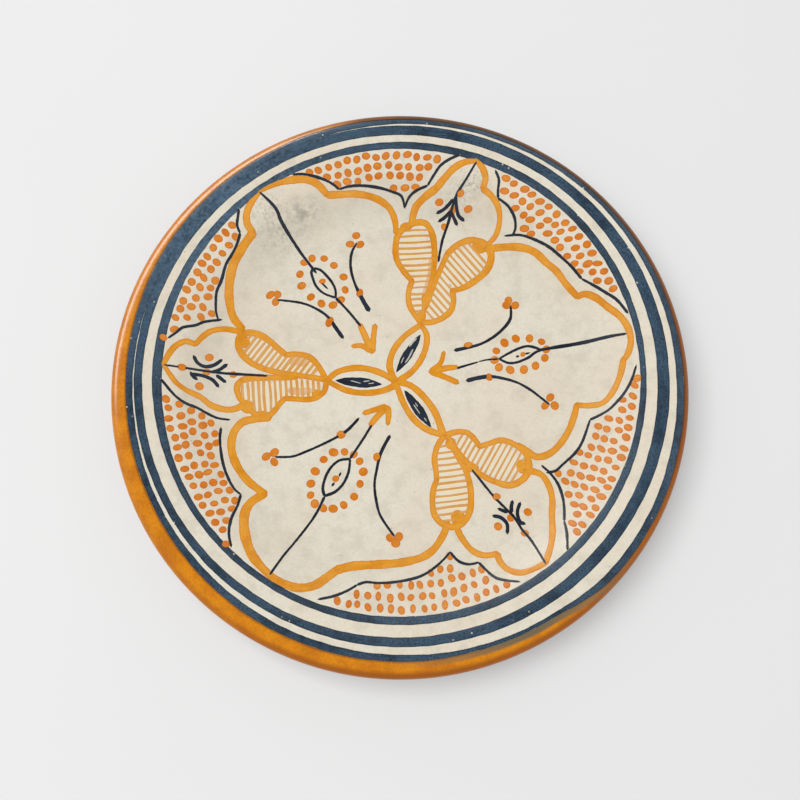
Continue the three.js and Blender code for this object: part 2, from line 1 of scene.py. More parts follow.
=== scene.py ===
# %% [markdown]
# # A hand-painted earthenware plate
# The real plate is a thrown dish on a turned foot. Its face has a cream glaze, its lip and outside an
# amber one, and a painter drew the flower with orange and cobalt brushes. The CAD model holds the sizes.
# This script makes the fine surface around it: the body, the coats of glaze, and every stroke of paint
# as a thin ribbon that follows the curved face.

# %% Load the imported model
import math
import random

import bmesh
import bpy
import numpy as np
from mathutils import Matrix, Vector
from mathutils.geometry import intersect_line_line_2d


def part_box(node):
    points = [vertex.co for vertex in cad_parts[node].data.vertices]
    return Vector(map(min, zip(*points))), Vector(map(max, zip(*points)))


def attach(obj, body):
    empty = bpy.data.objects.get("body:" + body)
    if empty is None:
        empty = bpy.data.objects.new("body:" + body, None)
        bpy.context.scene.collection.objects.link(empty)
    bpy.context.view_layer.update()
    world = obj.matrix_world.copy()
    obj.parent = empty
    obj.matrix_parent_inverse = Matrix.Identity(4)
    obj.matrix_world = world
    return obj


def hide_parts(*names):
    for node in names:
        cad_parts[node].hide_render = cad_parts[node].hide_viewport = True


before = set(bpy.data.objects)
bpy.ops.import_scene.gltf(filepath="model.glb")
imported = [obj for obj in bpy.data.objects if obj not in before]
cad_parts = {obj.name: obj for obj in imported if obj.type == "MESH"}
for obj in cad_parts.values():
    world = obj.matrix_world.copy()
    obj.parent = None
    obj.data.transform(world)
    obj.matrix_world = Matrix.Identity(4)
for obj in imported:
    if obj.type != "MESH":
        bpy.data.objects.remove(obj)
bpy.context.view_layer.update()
print("CAD nodes:", len(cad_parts))

# %% [markdown]
# ## Sizes
# Everything below is written in millimetres, as a potter would, and turned into metres where a vertex is
# placed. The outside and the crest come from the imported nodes. The other numbers are those of the CAD
# model, so that a ribbon lies where its CAD stroke lies.

# %% Sizes of the plate
MM = 0.001
PLATE_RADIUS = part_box("amber_glaze")[1].x / MM
CREST_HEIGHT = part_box("face_glaze")[1].z / MM
FOOT_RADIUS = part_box("foot_ring")[1].x / MM
WELL_RADIUS = 82.0
WELL_HEIGHT = 10.5
LIP_REACH = 9.0
LIP_DROP = 6.5
LIP_UNDER = 3.6
FOOT_WIDTH = 9.0
FOOT_HEIGHT = 5.0
UNDER_FLAT_RADIUS = 86.0
GLAZE = 0.5
SEAM_RADIUS = PLATE_RADIUS - 4.0
CREST_RADIUS = PLATE_RADIUS - LIP_REACH
LIP_HEIGHT = CREST_HEIGHT - LIP_DROP
print(f"radius {PLATE_RADIUS:.1f} mm, crest {CREST_HEIGHT:.1f} mm, foot {FOOT_RADIUS:.1f} mm")


# %% Heights of the face and of the underside
def ease(share):
    """Rises slowly, then quickly, then slowly, from 0 to 1."""
    return share * share * (3 - 2 * share)


def face_height(radius):
    """Height of the glazed face: a flat well, an eased wall, and a rounded lip."""
    if radius <= WELL_RADIUS:
        return WELL_HEIGHT
    if radius <= CREST_RADIUS:
        share = (radius - WELL_RADIUS) / (CREST_RADIUS - WELL_RADIUS)
        return WELL_HEIGHT + (CREST_HEIGHT - WELL_HEIGHT) * ease(share)
    out = min(1.0, (radius - CREST_RADIUS) / LIP_REACH)
    return LIP_HEIGHT + LIP_DROP * math.sqrt(1 - out * out)


def under_height(radius):
    """Height of the glazed underside between the foot and the lip."""
    if radius <= UNDER_FLAT_RADIUS:
        return FOOT_HEIGHT
    share = (radius - UNDER_FLAT_RADIUS) / (CREST_RADIUS - UNDER_FLAT_RADIUS)
    return FOOT_HEIGHT + (LIP_HEIGHT - LIP_UNDER - FOOT_HEIGHT) * ease(share)


# %% [markdown]
# A thrown plate is never true: the rim rises and falls by a fraction of a millimetre as it dries. One
# small function gives that warp, and every surface adds it, so that paint and glaze stay together.

# %% The warp of a dried plate
def warp(x, y):
    """How far the plate stands above its true shape at a place, in millimetres."""
    angle = math.atan2(y, x)
    outward = max(0.0, math.hypot(x, y) - FOOT_RADIUS) / (PLATE_RADIUS - FOOT_RADIUS)
    return outward * outward * (0.22 * math.sin(2 * angle + 0.8) + 0.12 * math.sin(3 * angle - 1.3) - 0.1)


def on_face(x, y, above):
    """A point in metres that stands above the glazed face at a place given in millimetres."""
    height = face_height(math.hypot(x, y)) + warp(x, y) + above
    return Vector((x, y, height)) * MM


print(f"the rim's warp at the front is {warp(0, -PLATE_RADIUS):.2f} mm")


# %% [markdown]
# ## Colours and shader helpers
# Colours are picked on a screen, so a helper turns screen values into the linear values that the
# shader wants. The other helpers keep the node trees short: they add a node, mix or layer colours, stretch
# a range of values to 0 and 1, make blotches and specks, and wire the main shader.

# %% Helpers for materials
def tint(red, green, blue):
    """A screen colour, 0 to 255, as a linear colour with alpha."""
    parts = [value / 255 for value in (red, green, blue)]
    linear = [p / 12.92 if p <= 0.04045 else ((p + 0.055) / 1.055) ** 2.4 for p in parts]
    return (*linear, 1.0)


def plug(tree, socket, value):
    """Sets a socket to a plain value, or links another node's output to it."""
    if isinstance(value, bpy.types.NodeSocket):
        tree.links.new(value, socket)
    else:
        socket.default_value = value


def node(tree, kind, settings=None, **inputs):
    """A new shader node. An underscore in an input's name stands for a space."""
    made = tree.nodes.new("ShaderNode" + kind)
    for name, value in (settings or {}).items():
        setattr(made, name, value)
    for name, value in inputs.items():
        plug(tree, made.inputs[name.replace("_", " ")], value)
    return made


def mix(tree, share, first, second):
    """The mix of two colours."""
    made = tree.nodes.new("ShaderNodeMix")
    made.data_type = "RGBA"
    for index, value in ((0, share), (6, first), (7, second)):
        plug(tree, made.inputs[index], value)
    return made.outputs[2]


def stretch(tree, value, low, high, to_low=0.0, to_high=1.0):
    """A value between low and high, eased to the span from to_low to to_high."""
    made = node(tree, "MapRange", {"interpolation_type": "SMOOTHSTEP"}, Value=value)
    for name, number in (("From Min", low), ("From Max", high), ("To Min", to_low), ("To Max", to_high)):
        made.inputs[name].default_value = number
    return made.outputs[0]


def calc(tree, operation, first, second=0.0):
    """One sum of two values."""
    made = tree.nodes.new("ShaderNodeMath")
    made.operation = operation
    plug(tree, made.inputs[0], first)
    plug(tree, made.inputs[1], second)
    return made.outputs[0]


def layer(tree, colour, over, *shares):
    """Lays a second colour over a first one, as strongly as the product of the shares."""
    share = shares[0]
    for other in shares[1:]:
        share = calc(tree, "MULTIPLY", share, other)
    return mix(tree, share, colour, over)


def noise(tree, place, grain, detail=2.0, roughness=0.5):
    """Soft noise whose blotches are about grain millimetres wide."""
    made = node(tree, "TexNoise", Vector=place, Scale=1 / (grain * MM), Detail=detail, Roughness=roughness)
    return made.outputs[0]


def specks(tree, place, pitch, size):
    """1 inside small round specks about pitch millimetres apart, 0 elsewhere."""
    cells = node(tree, "TexVoronoi", Vector=place, Scale=1 / (pitch * MM), Randomness=1.0)
    return stretch(tree, cells.outputs["Distance"], size, size * 0.5)


def surface(tree, colour, roughness, bump=None):
    """The main shader, wired to the material's output."""
    shader = node(tree, "BsdfPrincipled", Roughness=roughness)
    plug(tree, shader.inputs["Base Color"], colour)
    if bump:
        plug(tree, shader.inputs["Normal"], bump.outputs[0])
    out = node(tree, "OutputMaterial")
    tree.links.new(shader.outputs[0], out.inputs[0])
    return shader


# %% [markdown]
# ## The cream glaze
# A white tin glaze on red clay is never one colour. It is a warm cream with greyer clouds a few
# millimetres wide, fine grain, and a few dark pinholes. A greyer ring at the bottom of the wall is partly
# pooled glaze and partly painted shade, and grey patches on the wall are painted dark reflections. The
# recipe is a node group, because the coat uses it and so does the soft edge of every stroke of paint,
# where the ground has to match.

# %% The colour of the bare cream glaze
def near_spot(tree, place, spot, reach):
    """1 at a spot on the plate, falling to 0 at its reach, both in millimetres."""
    target = (spot[0] * MM, spot[1] * MM, spot[2] * MM)
    gap = node(tree, "VectorMath", {"operation": "DISTANCE"})
    plug(tree, gap.inputs[0], place)
    gap.inputs[1].default_value = target
    return stretch(tree, gap.outputs["Value"], reach * MM, 0.0)


def plan_radius(tree, flat):
    """Distance from the plate's axis, from a node that splits a place into its three parts."""
    square = [calc(tree, "MULTIPLY", flat.outputs[i], flat.outputs[i]) for i in (0, 1)]
    return calc(tree, "SQRT", calc(tree, "ADD", square[0], square[1]))


def toward(tree, flat, right, back):
    """How far a place lies toward one side of the plate, as a sum of its right and back parts."""
    parts = [calc(tree, "MULTIPLY", flat.outputs[i], share) for i, share in ((0, right), (1, back))]
    return calc(tree, "ADD", parts[0], parts[1])


def build_cream_group():
    """Cream with clouds, grain, dust, a ring of pooled glaze and painted shade, painted dark reflections and
    pinholes, laid over each other in turn.
    """
    group = bpy.data.node_groups.new("cream_glaze_colour", "ShaderNodeTree")
    group.interface.new_socket("Colour", in_out="OUTPUT", socket_type="NodeSocketColor")
    place = node(group, "TexCoord").outputs["Object"]
    clouds = stretch(group, noise(group, place, 7.0, 5.0, 0.62), 0.42, 0.72)
    drift = stretch(group, noise(group, place, 40.0, 2.0), 0.35, 0.68)
    grain = stretch(group, noise(group, place, 1.3, 3.0), 0.35, 0.75)
    colour = mix(group, drift, CREAM, CREAM_WARM)
    colour = layer(group, colour, CREAM_CLOUD, clouds, 0.62)
    colour = layer(group, colour, CREAM_CLOUD, grain, 0.34)
    dusty = stretch(group, noise(group, place, 9.0, 2.0), 0.46, 0.62)
    colour = layer(group, colour, PINHOLE, specks(group, place, 2.6, 0.10), 0.35, dusty)
    flat = node(group, "SeparateXYZ", Vector=place)
    radius = plan_radius(group, flat)
    # Painted shade, partly pooled glaze: a greyer ring at the foot of the wall, strongest toward the back
    # left.
    rise = stretch(group, radius, POOL_SHADE_STARTS * MM, 95 * MM)
    fall = stretch(group, radius, POOL_SHADE_ENDS * MM, 98 * MM)
    sided = stretch(group, toward(group, flat, -1.0, 1.0), -110 * MM, 130 * MM, 0.05, 0.28)
    colour = layer(group, colour, CREAM_POOL_SHADE, rise, fall, sided)
    # Painted dark reflections: grey patches on the wall where the glossy glaze mirrors something dark.
    for spot, reach, share, grain in WALL_DARK_REFLECTIONS:
        broken = stretch(group, noise(group, place, grain, 5.0, 0.75), 0.44, 0.66)
        colour = layer(group, colour, REFLECTION_GREY, near_spot(group, place, spot, reach), share, broken)
    rare = stretch(group, noise(group, place, 14.0, 1.0), 0.46, 0.6)
    colour = layer(group, colour, PINHOLE, specks(group, place, 6.0, 0.06), 0.7, rare)
    out = group.nodes.new("NodeGroupOutput")
    group.links.new(colour, out.inputs["Colour"])
    return group


CREAM = tint(236, 229, 212)
CREAM_WARM = tint(234, 223, 203)
CREAM_CLOUD = tint(212, 203, 183)
CREAM_POOL_SHADE = tint(186, 178, 160)
REFLECTION_GREY = tint(112, 112, 110)
PINHOLE = tint(120, 100, 76)
POOL_SHADE_STARTS, POOL_SHADE_ENDS = 80, 112
# Each patch of painted dark reflection is a place, how far it reaches, how dark it is, and the size of its
# grain.
WALL_DARK_REFLECTIONS = [
    ((-68, 91, 17), 13, 0.95, 1.6),
    ((36, 104, 19), 12, 0.8, 1.6),
    ((-60, 80, 14), 26, 0.3, 1.6),
    ((-48, 87, 15), 17, 0.5, 9.0),
    ((-64, 77, 13), 15, 0.46, 9.0),
    ((28, 94, 14), 16, 0.35, 1.6),
]
cream_group = build_cream_group()
print("cream glaze nodes:", len(cream_group.nodes))


# %% [markdown]
# Every finish ends in the same glassy surface: a soft base under a clear coat, with a very slight
# ripple. The coat's numbers are plain values on the shader, so that they survive an export.

# %% The glassy top of every finish
GLOSS = 0.13
AMBER_GLOSS = 0.09


def glassy(tree, colour, roughness, ripple=0.05, gloss=GLOSS, coat_roughness=0.07):
    """Ends a tree in a glazed surface."""
    place = node(tree, "TexCoord").outputs["Object"]
    peel = noise(tree, place, 2.6, 3.0)
    bump = node(tree, "Bump", Strength=ripple, Distance=0.4 * MM, Height=peel)
    shader = surface(tree, colour, roughness, bump)
    shader.inputs["Specular IOR Level"].default_value = gloss
    shader.inputs["Coat Weight"].default_value = gloss
    shader.inputs["Coat Roughness"].default_value = coat_roughness


def new_material(name):
    """A material with an empty node tree."""
    material = bpy.data.materials.new(name)
    material.use_nodes = True
    material.node_tree.nodes.clear()
    return material, material.node_tree


def cream_colour(tree):
    """The bare glaze's colour, from the shared group."""
    return node(tree, "Group", {"node_tree": cream_group}).outputs[0]


def make_cream():
    """The cream coat."""
    material, tree = new_material("cream_glaze")
    glassy(tree, cream_colour(tree), 0.3)
    return material


def make_amber():
    """Iron glaze: bright amber where thick, darker toward the back right, and brown where it turns over the
    lip, partly thin glaze and partly painted shade.

    Its inner edge is dark, and olive over the cobalt band at the front. The attribute "inward" tells how
    far a place lies inside that edge, so it is below 0 on the coat."""
    material, tree = new_material("amber_glaze")
    place = node(tree, "TexCoord").outputs["Object"]
    clouds = stretch(tree, noise(tree, place, 9.0, 5.0, 0.6), 0.36, 0.68)
    grain = stretch(tree, noise(tree, place, 1.1, 3.0, 0.6), 0.4, 0.7)
    colour = mix(tree, clouds, AMBER, AMBER_DEEP)
    colour = layer(tree, colour, AMBER_BROWN, grain, 0.3)
    flat = node(tree, "SeparateXYZ", Vector=place)
    ragged = calc(tree, "MULTIPLY", noise(tree, place, 30.0, 3.0), 60 * MM)
    # The amber is darker toward the back right, with a ragged border.
    back_right_dark = calc(tree, "ADD", toward(tree, flat, 0.75, 0.66), ragged)
    back_right_dark = stretch(tree, back_right_dark, 60 * MM, 128 * MM)
    colour = layer(tree, colour, AMBER_BACK_RIGHT, back_right_dark, 0.85)
    inward = node(tree, "Attribute", {"attribute_name": "inward"}).outputs["Fac"]
    edge = stretch(tree, inward, -1.3, -0.25)
    colour = layer(tree, colour, AMBER_EDGE, edge, stretch(tree, back_right_dark, 0.0, 0.5, 0.5, 0.95))
    # Painted shade, partly glaze thinning on the edge: the amber turns brown over the lip, most toward the
    # front right.
    over_lip = stretch(tree, plan_radius(tree, flat), LIP_TURNS * MM, LIP_TURNED * MM)
    outside = calc(tree, "MAXIMUM", over_lip, stretch(tree, inward, -20, -30))
    front = stretch(tree, toward(tree, flat, 0.6, -0.8), -50 * MM, 115 * MM, 0.1, 0.9)
    colour = layer(tree, colour, AMBER_TURNED_SHADE, front, outside)
    smear = near_spot(tree, place, AMBER_SMEAR_AT, AMBER_SMEAR_REACH)
    colour = layer(tree, colour, AMBER_SMEAR, stretch(tree, inward, -3.3, -2.0), smear)
    glassy(tree, colour, 0.3, 0.08, AMBER_GLOSS, 0.2)
    return material


def make_clay():
    """Bare red earthenware: sandy, matt and unevenly fired."""
    material, tree = new_material("red_clay")
    place = node(tree, "TexCoord").outputs["Object"]
    clouds = stretch(tree, noise(tree, place, 14.0, 4.0), 0.36, 0.66)
    sand = stretch(tree, noise(tree, place, 0.7, 3.0, 0.7), 0.42, 0.68)
    colour = mix(tree, clouds, CLAY, CLAY_PALE)
    colour = layer(tree, colour, CLAY_DARK, sand, 0.4)
    colour = layer(tree, colour, CLAY_GRIT, specks(tree, place, 3.2, 0.13), 0.6)
    bump = node(tree, "Bump", Strength=0.5, Distance=0.25 * MM, Height=noise(tree, place, 0.8, 4.0, 0.7))
    surface(tree, colour, 0.88, bump)
    return material


AMBER = tint(228, 142, 8)
AMBER_DEEP = tint(206, 120, 6)
AMBER_BROWN = tint(150, 82, 10)
AMBER_BACK_RIGHT = tint(62, 40, 20)
AMBER_EDGE = tint(58, 42, 30)
AMBER_SMEAR = tint(118, 104, 78)
AMBER_SMEAR_AT = (58, -114, 28)
AMBER_SMEAR_REACH = 74
AMBER_TURNED_SHADE = tint(150, 78, 2)
LIP_TURNS, LIP_TURNED = 130.6, 133.6
CLAY = tint(182, 112, 76)
CLAY_PALE = tint(200, 137, 100)
CLAY_DARK = tint(132, 76, 52)
CLAY_GRIT = tint(226, 196, 164)
cream_glaze = make_cream()
amber_glaze = make_amber()
red_clay = make_clay()
print("glaze and clay finishes are ready")


# %% [markdown]
# ## Paint
# A brush full of pigment leaves a stroke that is not flat colour. It is streaked along its length, a
# little darker where it was lifted and at its edges, and it fades into the ground at its outline. Each
# stroke's mesh carries an attribute with the distance along it, the distance from its middle line and
# the distance in from its edge. The shader reads those, so the streaks follow each turn of the brush.

# %% Paint that follows the stroke
def make_paint(name, colours, edge_share=0.35, granules=0.2, pits=0.0, streaky=0.75):
    """Pigment under the glaze: its usual colour, where it is thin, and where it pooled.

    A paint with pits also shows specks of the ground, and a painted sheen: a paler, hazy blue toward the back
    left that stands for the reflection on the wide bands."""
    body, thin, deep = (tint(*colour) for colour in colours)
    material, tree = new_material(name)
    place = node(tree, "TexCoord").outputs["Object"]
    stroke = node(tree, "Attribute", {"attribute_name": "stroke"})
    parts = node(tree, "SeparateXYZ", Vector=stroke.outputs["Vector"])
    pool = node(tree, "Attribute", {"attribute_name": "pool"}).outputs["Fac"]
    long_way = node(tree, "CombineXYZ")
    plug(tree, long_way.inputs[0], calc(tree, "MULTIPLY", parts.outputs[0], 0.06))
    plug(tree, long_way.inputs[1], calc(tree, "MULTIPLY", parts.outputs[1], 0.9))
    streaks = node(tree, "TexNoise", Vector=long_way.outputs[0], Scale=1.0, Detail=3.0)
    thinner = stretch(tree, streaks.outputs[0], 0.38, 0.7)
    clouds = stretch(tree, noise(tree, place, 6.0, 3.0), 0.38, 0.66)
    colour = layer(tree, body, thin, thinner, streaky)
    colour = layer(tree, colour, deep, clouds, 0.5)
    load = stretch(tree, noise(tree, place, 32.0, 1.0), 0.4, 0.62)
    colour = layer(tree, colour, thin, load, 0.45)
    fine = stretch(tree, noise(tree, place, 0.8, 3.0, 0.6), 0.42, 0.72)
    colour = layer(tree, colour, deep, fine, granules)
    rim = stretch(tree, parts.outputs[2], 0.75, 0.15)
    colour = layer(tree, colour, deep, rim, edge_share)
    colour = layer(tree, colour, deep, pool)
    ground = cream_colour(tree)
    if pits:
        # Painted sheen: a paler, hazy blue toward the back left stands for the reflection on the wide bands
        # there.
        haze = stretch(tree, noise(tree, place, 1.6, 5.0, 0.75), 0.36, 0.66)
        worn = near_spot(tree, place, SHEEN_AT, SHEEN_REACH)
        colour = layer(tree, colour, tint(*SHEEN_BAND), worn, haze, 0.55)
        patchy = stretch(tree, noise(tree, place, 22.0, 2.0), 0.44, 0.6)
        colour = layer(tree, colour, ground, specks(tree, place, 5.0, 0.11), pits, patchy)
    ragged = calc(tree, "MULTIPLY", calc(tree, "SUBTRACT", noise(tree, place, 1.0, 2.0), 0.5), 0.35)
    cover = stretch(tree, calc(tree, "ADD", parts.outputs[2], ragged), -0.14, 0.10)
    colour = mix(tree, cover, ground, colour)
    glassy(tree, colour, 0.3)
    return material


SHEEN_AT = (-92, 88, 27)
SHEEN_REACH = 110
SHEEN_BAND = (110, 138, 160)
orange_line = make_paint("orange_outline", [(231, 155, 26), (240, 172, 74), (208, 124, 6)], 0.6, 0.35)
orange_dab = make_paint("orange_dab", [(224, 132, 16), (233, 158, 72), (204, 104, 2)], 0.6, 0.4)
orange_hatch = make_paint("orange_hatch", [(224, 170, 92), (232, 184, 124), (208, 138, 50)])
orange_wash = make_paint("orange_wash", [(230, 186, 144), (233, 200, 164), (224, 164, 102)], 0.1)
yellow_wash = make_paint("yellow_wash", [(239, 227, 199), (236, 227, 208), (240, 218, 172)], 0.0, 0.1)
cobalt_line = make_paint("cobalt_line", [(30, 38, 52), (46, 58, 74), (14, 18, 26)], 0.5, 0.3)
cobalt_band = make_paint("cobalt_band", [(52, 74, 94), (76, 102, 124), (22, 32, 44)], 0.5, 0.8, 0.8, 0.4)
cream_glint = make_paint("cream_glint", [(214, 212, 202), (200, 200, 192), (150, 155, 158)], 0.3)
print("paints are ready")


# %% [markdown]
# ## The thrown body
# The body, the foot and both coats of glaze are round, so each is half a section spun about the plate's
# axis, as the potter's wheel made them. A Screw modifier would do the same, but a bmesh spin leaves a
# plain mesh that can still be warped.

# %% Spin a section
TURNS = 360
SECTORS = 12


def spun(name, section, material, shape=None):
    """A closed section, as radius and height pairs in millimetres, spun into a named piece.

    One long spin slows down with each step, so a twelfth is spun and copied round. The shape function
    may move a vertex, and what it returns is kept in the attribute "inward"."""
    sector = bmesh.new()
    corners = [sector.verts.new((radius, 0, height)) for radius, height in section]
    for here, after in zip(corners, corners[1:]):
        sector.edges.new((here, after))
    if section[0][0] > 0:
        sector.edges.new((corners[-1], corners[0]))
    geometry = sector.verts[:] + sector.edges[:]
    slice_angle = math.tau / SECTORS
    bmesh.ops.spin(
        sector, geom=geometry, axis=(0, 0, 1), cent=(0, 0, 0), steps=TURNS // SECTORS, angle=slice_angle
    )
    mesh = bpy.data.meshes.new("sector")
    sector.to_mesh(mesh)
    sector.free()
    bm = bmesh.new()
    for _ in range(SECTORS):
        mesh.transform(Matrix.Rotation(slice_angle, 4, "Z"))
        bm.from_mesh(mesh)
    bpy.data.meshes.remove(mesh)
    bmesh.ops.remove_doubles(bm, verts=bm.verts, dist=0.002)
    layer = bm.verts.layers.float.new("inward")
    for vert in bm.verts:
        vert[layer] = shape(vert) if shape else 0.0
        vert.co.z += warp(vert.co.x, vert.co.y)
        vert.co *= MM
    bmesh.ops.recalc_face_normals(bm, faces=bm.faces)
    return finished(name, bm, [material])


def finished(name, bm, materials):
    """Turns a bmesh into a smooth-shaded object at the origin."""
    for face in bm.faces:
        face.smooth = True
    mesh = bpy.data.meshes.new(name)
    bm.to_mesh(mesh)
    bm.free()
    for material in materials:
        mesh.materials.append(material)
    piece = bpy.data.objects.new(name, mesh)
    bpy.context.scene.collection.objects.link(piece)
    return piece


def adopt(piece, slot, *cad_nodes):
    """Makes a piece stand for its CAD nodes: it hangs on the root, and the nodes are hidden."""
    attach(piece, "root")
    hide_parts(*cad_nodes)
    print(f"{piece.name}: {len(piece.data.polygons)} faces for {', '.join(cad_nodes)}")


def steps(start, end, pitch):
    """Numbers from start to end, both included, about a pitch apart."""
    count = max(1, round(abs(end - start) / pitch))
    return [start + (end - start) * i / count for i in range(count + 1)]


# %% [markdown]
# The face's section is sampled every millimetre up the wall, where it curves, and coarsely across the
# flat well. The lip is an ellipse, so its points come from an angle.

# %% Sections of the plate
def face_section(first, last, sink):
    """The face from a first to a last radius."""
    radii = steps(0, WELL_RADIUS, 6.0) + steps(WELL_RADIUS, CREST_RADIUS, 1.0)[1:]
    radii += steps(CREST_RADIUS, last, 0.6)[1:]
    return [(radius, face_height(radius) - sink) for radius in radii if radius >= first]


def wrap_section(inner, sink):
    """From the face over the lip and back under the plate to the foot."""
    start = math.acos((inner - CREST_RADIUS) / LIP_REACH)
    points = []
    for angle in steps(start, 0, 0.06):
        radius = CREST_RADIUS + (LIP_REACH - sink) * math.cos(angle)
        points.append((radius, LIP_HEIGHT + (LIP_DROP - sink) * math.sin(angle)))
    for angle in steps(0, -math.pi / 2, 0.1)[1:]:
        radius = CREST_RADIUS + (LIP_REACH - sink) * math.cos(angle)
        points.append((radius, LIP_HEIGHT + (LIP_UNDER - sink) * math.sin(angle)))
    for radius in steps(CREST_RADIUS, UNDER_FLAT_RADIUS, 1.5)[1:]:
        points.append((radius, under_height(radius) + sink))
    points.append((FOOT_RADIUS + 0.2, FOOT_HEIGHT + sink))
    return points


# %% Body
TURNING_PITCH = 2.6
TURNING_DEPTH = 0.12


def make_body():
    """The clay under the glaze. Its underside inside the foot is bare and shows the turning tool's rings."""
    recess = FOOT_RADIUS - FOOT_WIDTH
    floor = [(radius, FOOT_HEIGHT + GLAZE + TURNING_DEPTH * math.sin(math.tau * radius / TURNING_PITCH))
             for radius in steps(0, recess, 0.4)]
    under = floor + [(FOOT_RADIUS, FOOT_HEIGHT + GLAZE)]
    outside = wrap_section(SEAM_RADIUS, GLAZE)[::-1]
    top = face_section(0, SEAM_RADIUS - 0.5, GLAZE)[::-1]
    return spun("thrown_body", under + outside[1:] + top, red_clay)


adopt(make_body(), "red_clay", "clay_body")


# %% [markdown]
# The foot was cut with a loop tool while the plate spun upside down, which leaves fine steps on its
# sides. Its lower edge is worn round. The section holds those steps, so they are real and not a bump.

# %% Foot ring
FOOT_STEP = 0.14
FOOT_EDGE = 1.1


def make_foot():
    """The foot: worn lower edges, stepped sides, and a top that is sunk in the body."""
    inner = FOOT_RADIUS - FOOT_WIDTH
    top = FOOT_HEIGHT + GLAZE + 0.3
    section = [(inner + FOOT_EDGE - FOOT_EDGE * math.cos(a), FOOT_EDGE - FOOT_EDGE * math.sin(a))
               for a in steps(0, math.pi / 2, 0.2)]
    section += [(FOOT_RADIUS - FOOT_EDGE + FOOT_EDGE * math.sin(a), FOOT_EDGE - FOOT_EDGE * math.cos(a))
                for a in steps(0, math.pi / 2, 0.2)]
    section += [(FOOT_RADIUS - FOOT_STEP * (1 + math.sin(height * 5.0)) / 2, height)
                for height in steps(FOOT_EDGE, top, 0.2)[1:]]
    section += [(inner + FOOT_STEP * (1 + math.sin(height * 4.2)) / 2, height)
                for height in steps(top, FOOT_EDGE, 0.2)[:-1]]
    return spun("turned_foot", section, red_clay)


adopt(make_foot(), "red_clay", "foot_ring")


# %% [markdown]
# ## The coats of glaze
# The plate was dipped twice. The cream coat covers the face and stops at the lip. The amber coat wraps
# the lip and the outside, and its inner edge wanders because it was wiped by hand. The wander is a sum
# of a few waves round the rim, which keeps it smooth and the same on every run.

# %% Coats
def waves(angle, parts):
    """A sum of waves round the plate, each given as height, count and shift."""
    return sum(height * math.sin(count * angle + shift) for height, count, shift in parts)


# A band's widths and strays are spaced evenly round the plate, from the right and then to the back.
BANDS = {
    "band_inner": {"middle": (0.1, 4.0), "radius": 113.6,
                   "widths": (2.6, 3.2, 3.5, 3.2, 3.1, 3.4, 4.2, 2.9, 3.0, 3.8, 3.8, 3.3)},
    "band_middle": {"middle": (0.4, 3.0), "radius": 121.9,
                    "widths": (5.5, 5.3, 5.0, 5.1, 4.8, 4.4, 3.7, 3.5, 3.6, 4.2, 4.8, 5.2)},
    "band_outer": {"middle": (2.3, 1.9), "radius": 127.7,
                   "widths": (3.8, 3.4, 2.9, 2.7, 2.5, 2.7, 2.9, 3.4, 4.0, 4.2, 4.3, 3.8, 3.3, 3.2, 3.0, 3.2,
                              3.4, 3.2, 3.0, 2.0, 1.6, 3.7, 4.0, 3.7),
                   "strays": (0.0, -0.1, -0.3, -0.3, -0.3, -0.1, 0.0, 0.0, 0.0, 0.0, 0.1, 0.1, 0.1, 0.0,
                              0.0, 0.1, 0.2, 0.1, 0.0, -0.3, -0.3, 2.0, 1.6, 0.6)},
}
AMBER_LAP = 0.2
AMBER_OVER = 0.03
EDGE_FALLOFF = 5.4
CREAM_END = 133.4
AMBER_START = 129.3
RAGGED = [(0.09, 7, 1.9), (0.06, 17, 0.3), (0.04, 41, 2.0)]


def round_the_rim(values, angle):
    """A value at an angle, eased between values that are spaced evenly round a whole turn."""
    at = (angle % math.tau) / math.tau * len(values)
    first = int(at) % len(values)
    return values[first] + (values[(first + 1) % len(values)] - values[first]) * ease(at - int(at))


def band_ring(name, angle):
    """The radius of a band about its own middle, and its width, at an angle."""
    sizes = BANDS[name]
    stray = round_the_rim(sizes["strays"], angle) if "strays" in sizes else 0.0
    return sizes["radius"] + stray, round_the_rim(sizes["widths"], angle)


def amber_edge(angle):
    """Radius of the inner edge of the amber coat, which laps over the outer band's rim."""
    middle, radius = BANDS["band_outer"]["middle"], BANDS["band_outer"]["radius"]
    across, up = radius * math.cos(angle) - middle[0], radius * math.sin(angle) - middle[1]
    radius, width = band_ring("band_outer", math.atan2(up, across))
    off = middle[0] * math.cos(angle) + middle[1] * math.sin(angle)
    return radius + off + width / 2 - AMBER_LAP + waves(angle, RAGGED)


def wander(vert):
    """Moves the inner edge of the amber coat to the band, and tells how far inward each place lies."""
    if vert.co.z < LIP_HEIGHT:
        return -PLATE_RADIUS
    radius = math.hypot(vert.co.x, vert.co.y)
    edge = amber_edge(math.atan2(vert.co.y, vert.co.x))
    share = 1 - ease(min(1.0, max(0.0, (radius - AMBER_START) / EDGE_FALLOFF)))
    shifted = radius + share * (edge - AMBER_START)
    change = face_height(shifted) - face_height(radius)
    vert.co.x *= shifted / radius
    vert.co.y *= shifted / radius
    vert.co.z += change
    return edge - shifted


def make_face_coat():
    """The cream coat, from the middle to the lip."""
    top = face_section(0, CREAM_END, 0)
    bottom = face_section(0, CREAM_END, GLAZE)
    return spun("cream_coat", bottom + top[::-1], cream_glaze)


def make_amber_coat():
    """The amber coat, which laps over the cream by a hair."""
    outside = wrap_section(AMBER_START, 0)
    outside = [(radius, height + AMBER_OVER) if height > LIP_HEIGHT else (radius, height)
               for radius, height in outside]
    inside = wrap_section(AMBER_START, GLAZE)
    return spun("amber_coat", inside + outside[::-1], amber_glaze, wander)


adopt(make_face_coat(), "cream_glaze", "face_glaze")
adopt(make_amber_coat(), "amber_glaze", "amber_glaze")


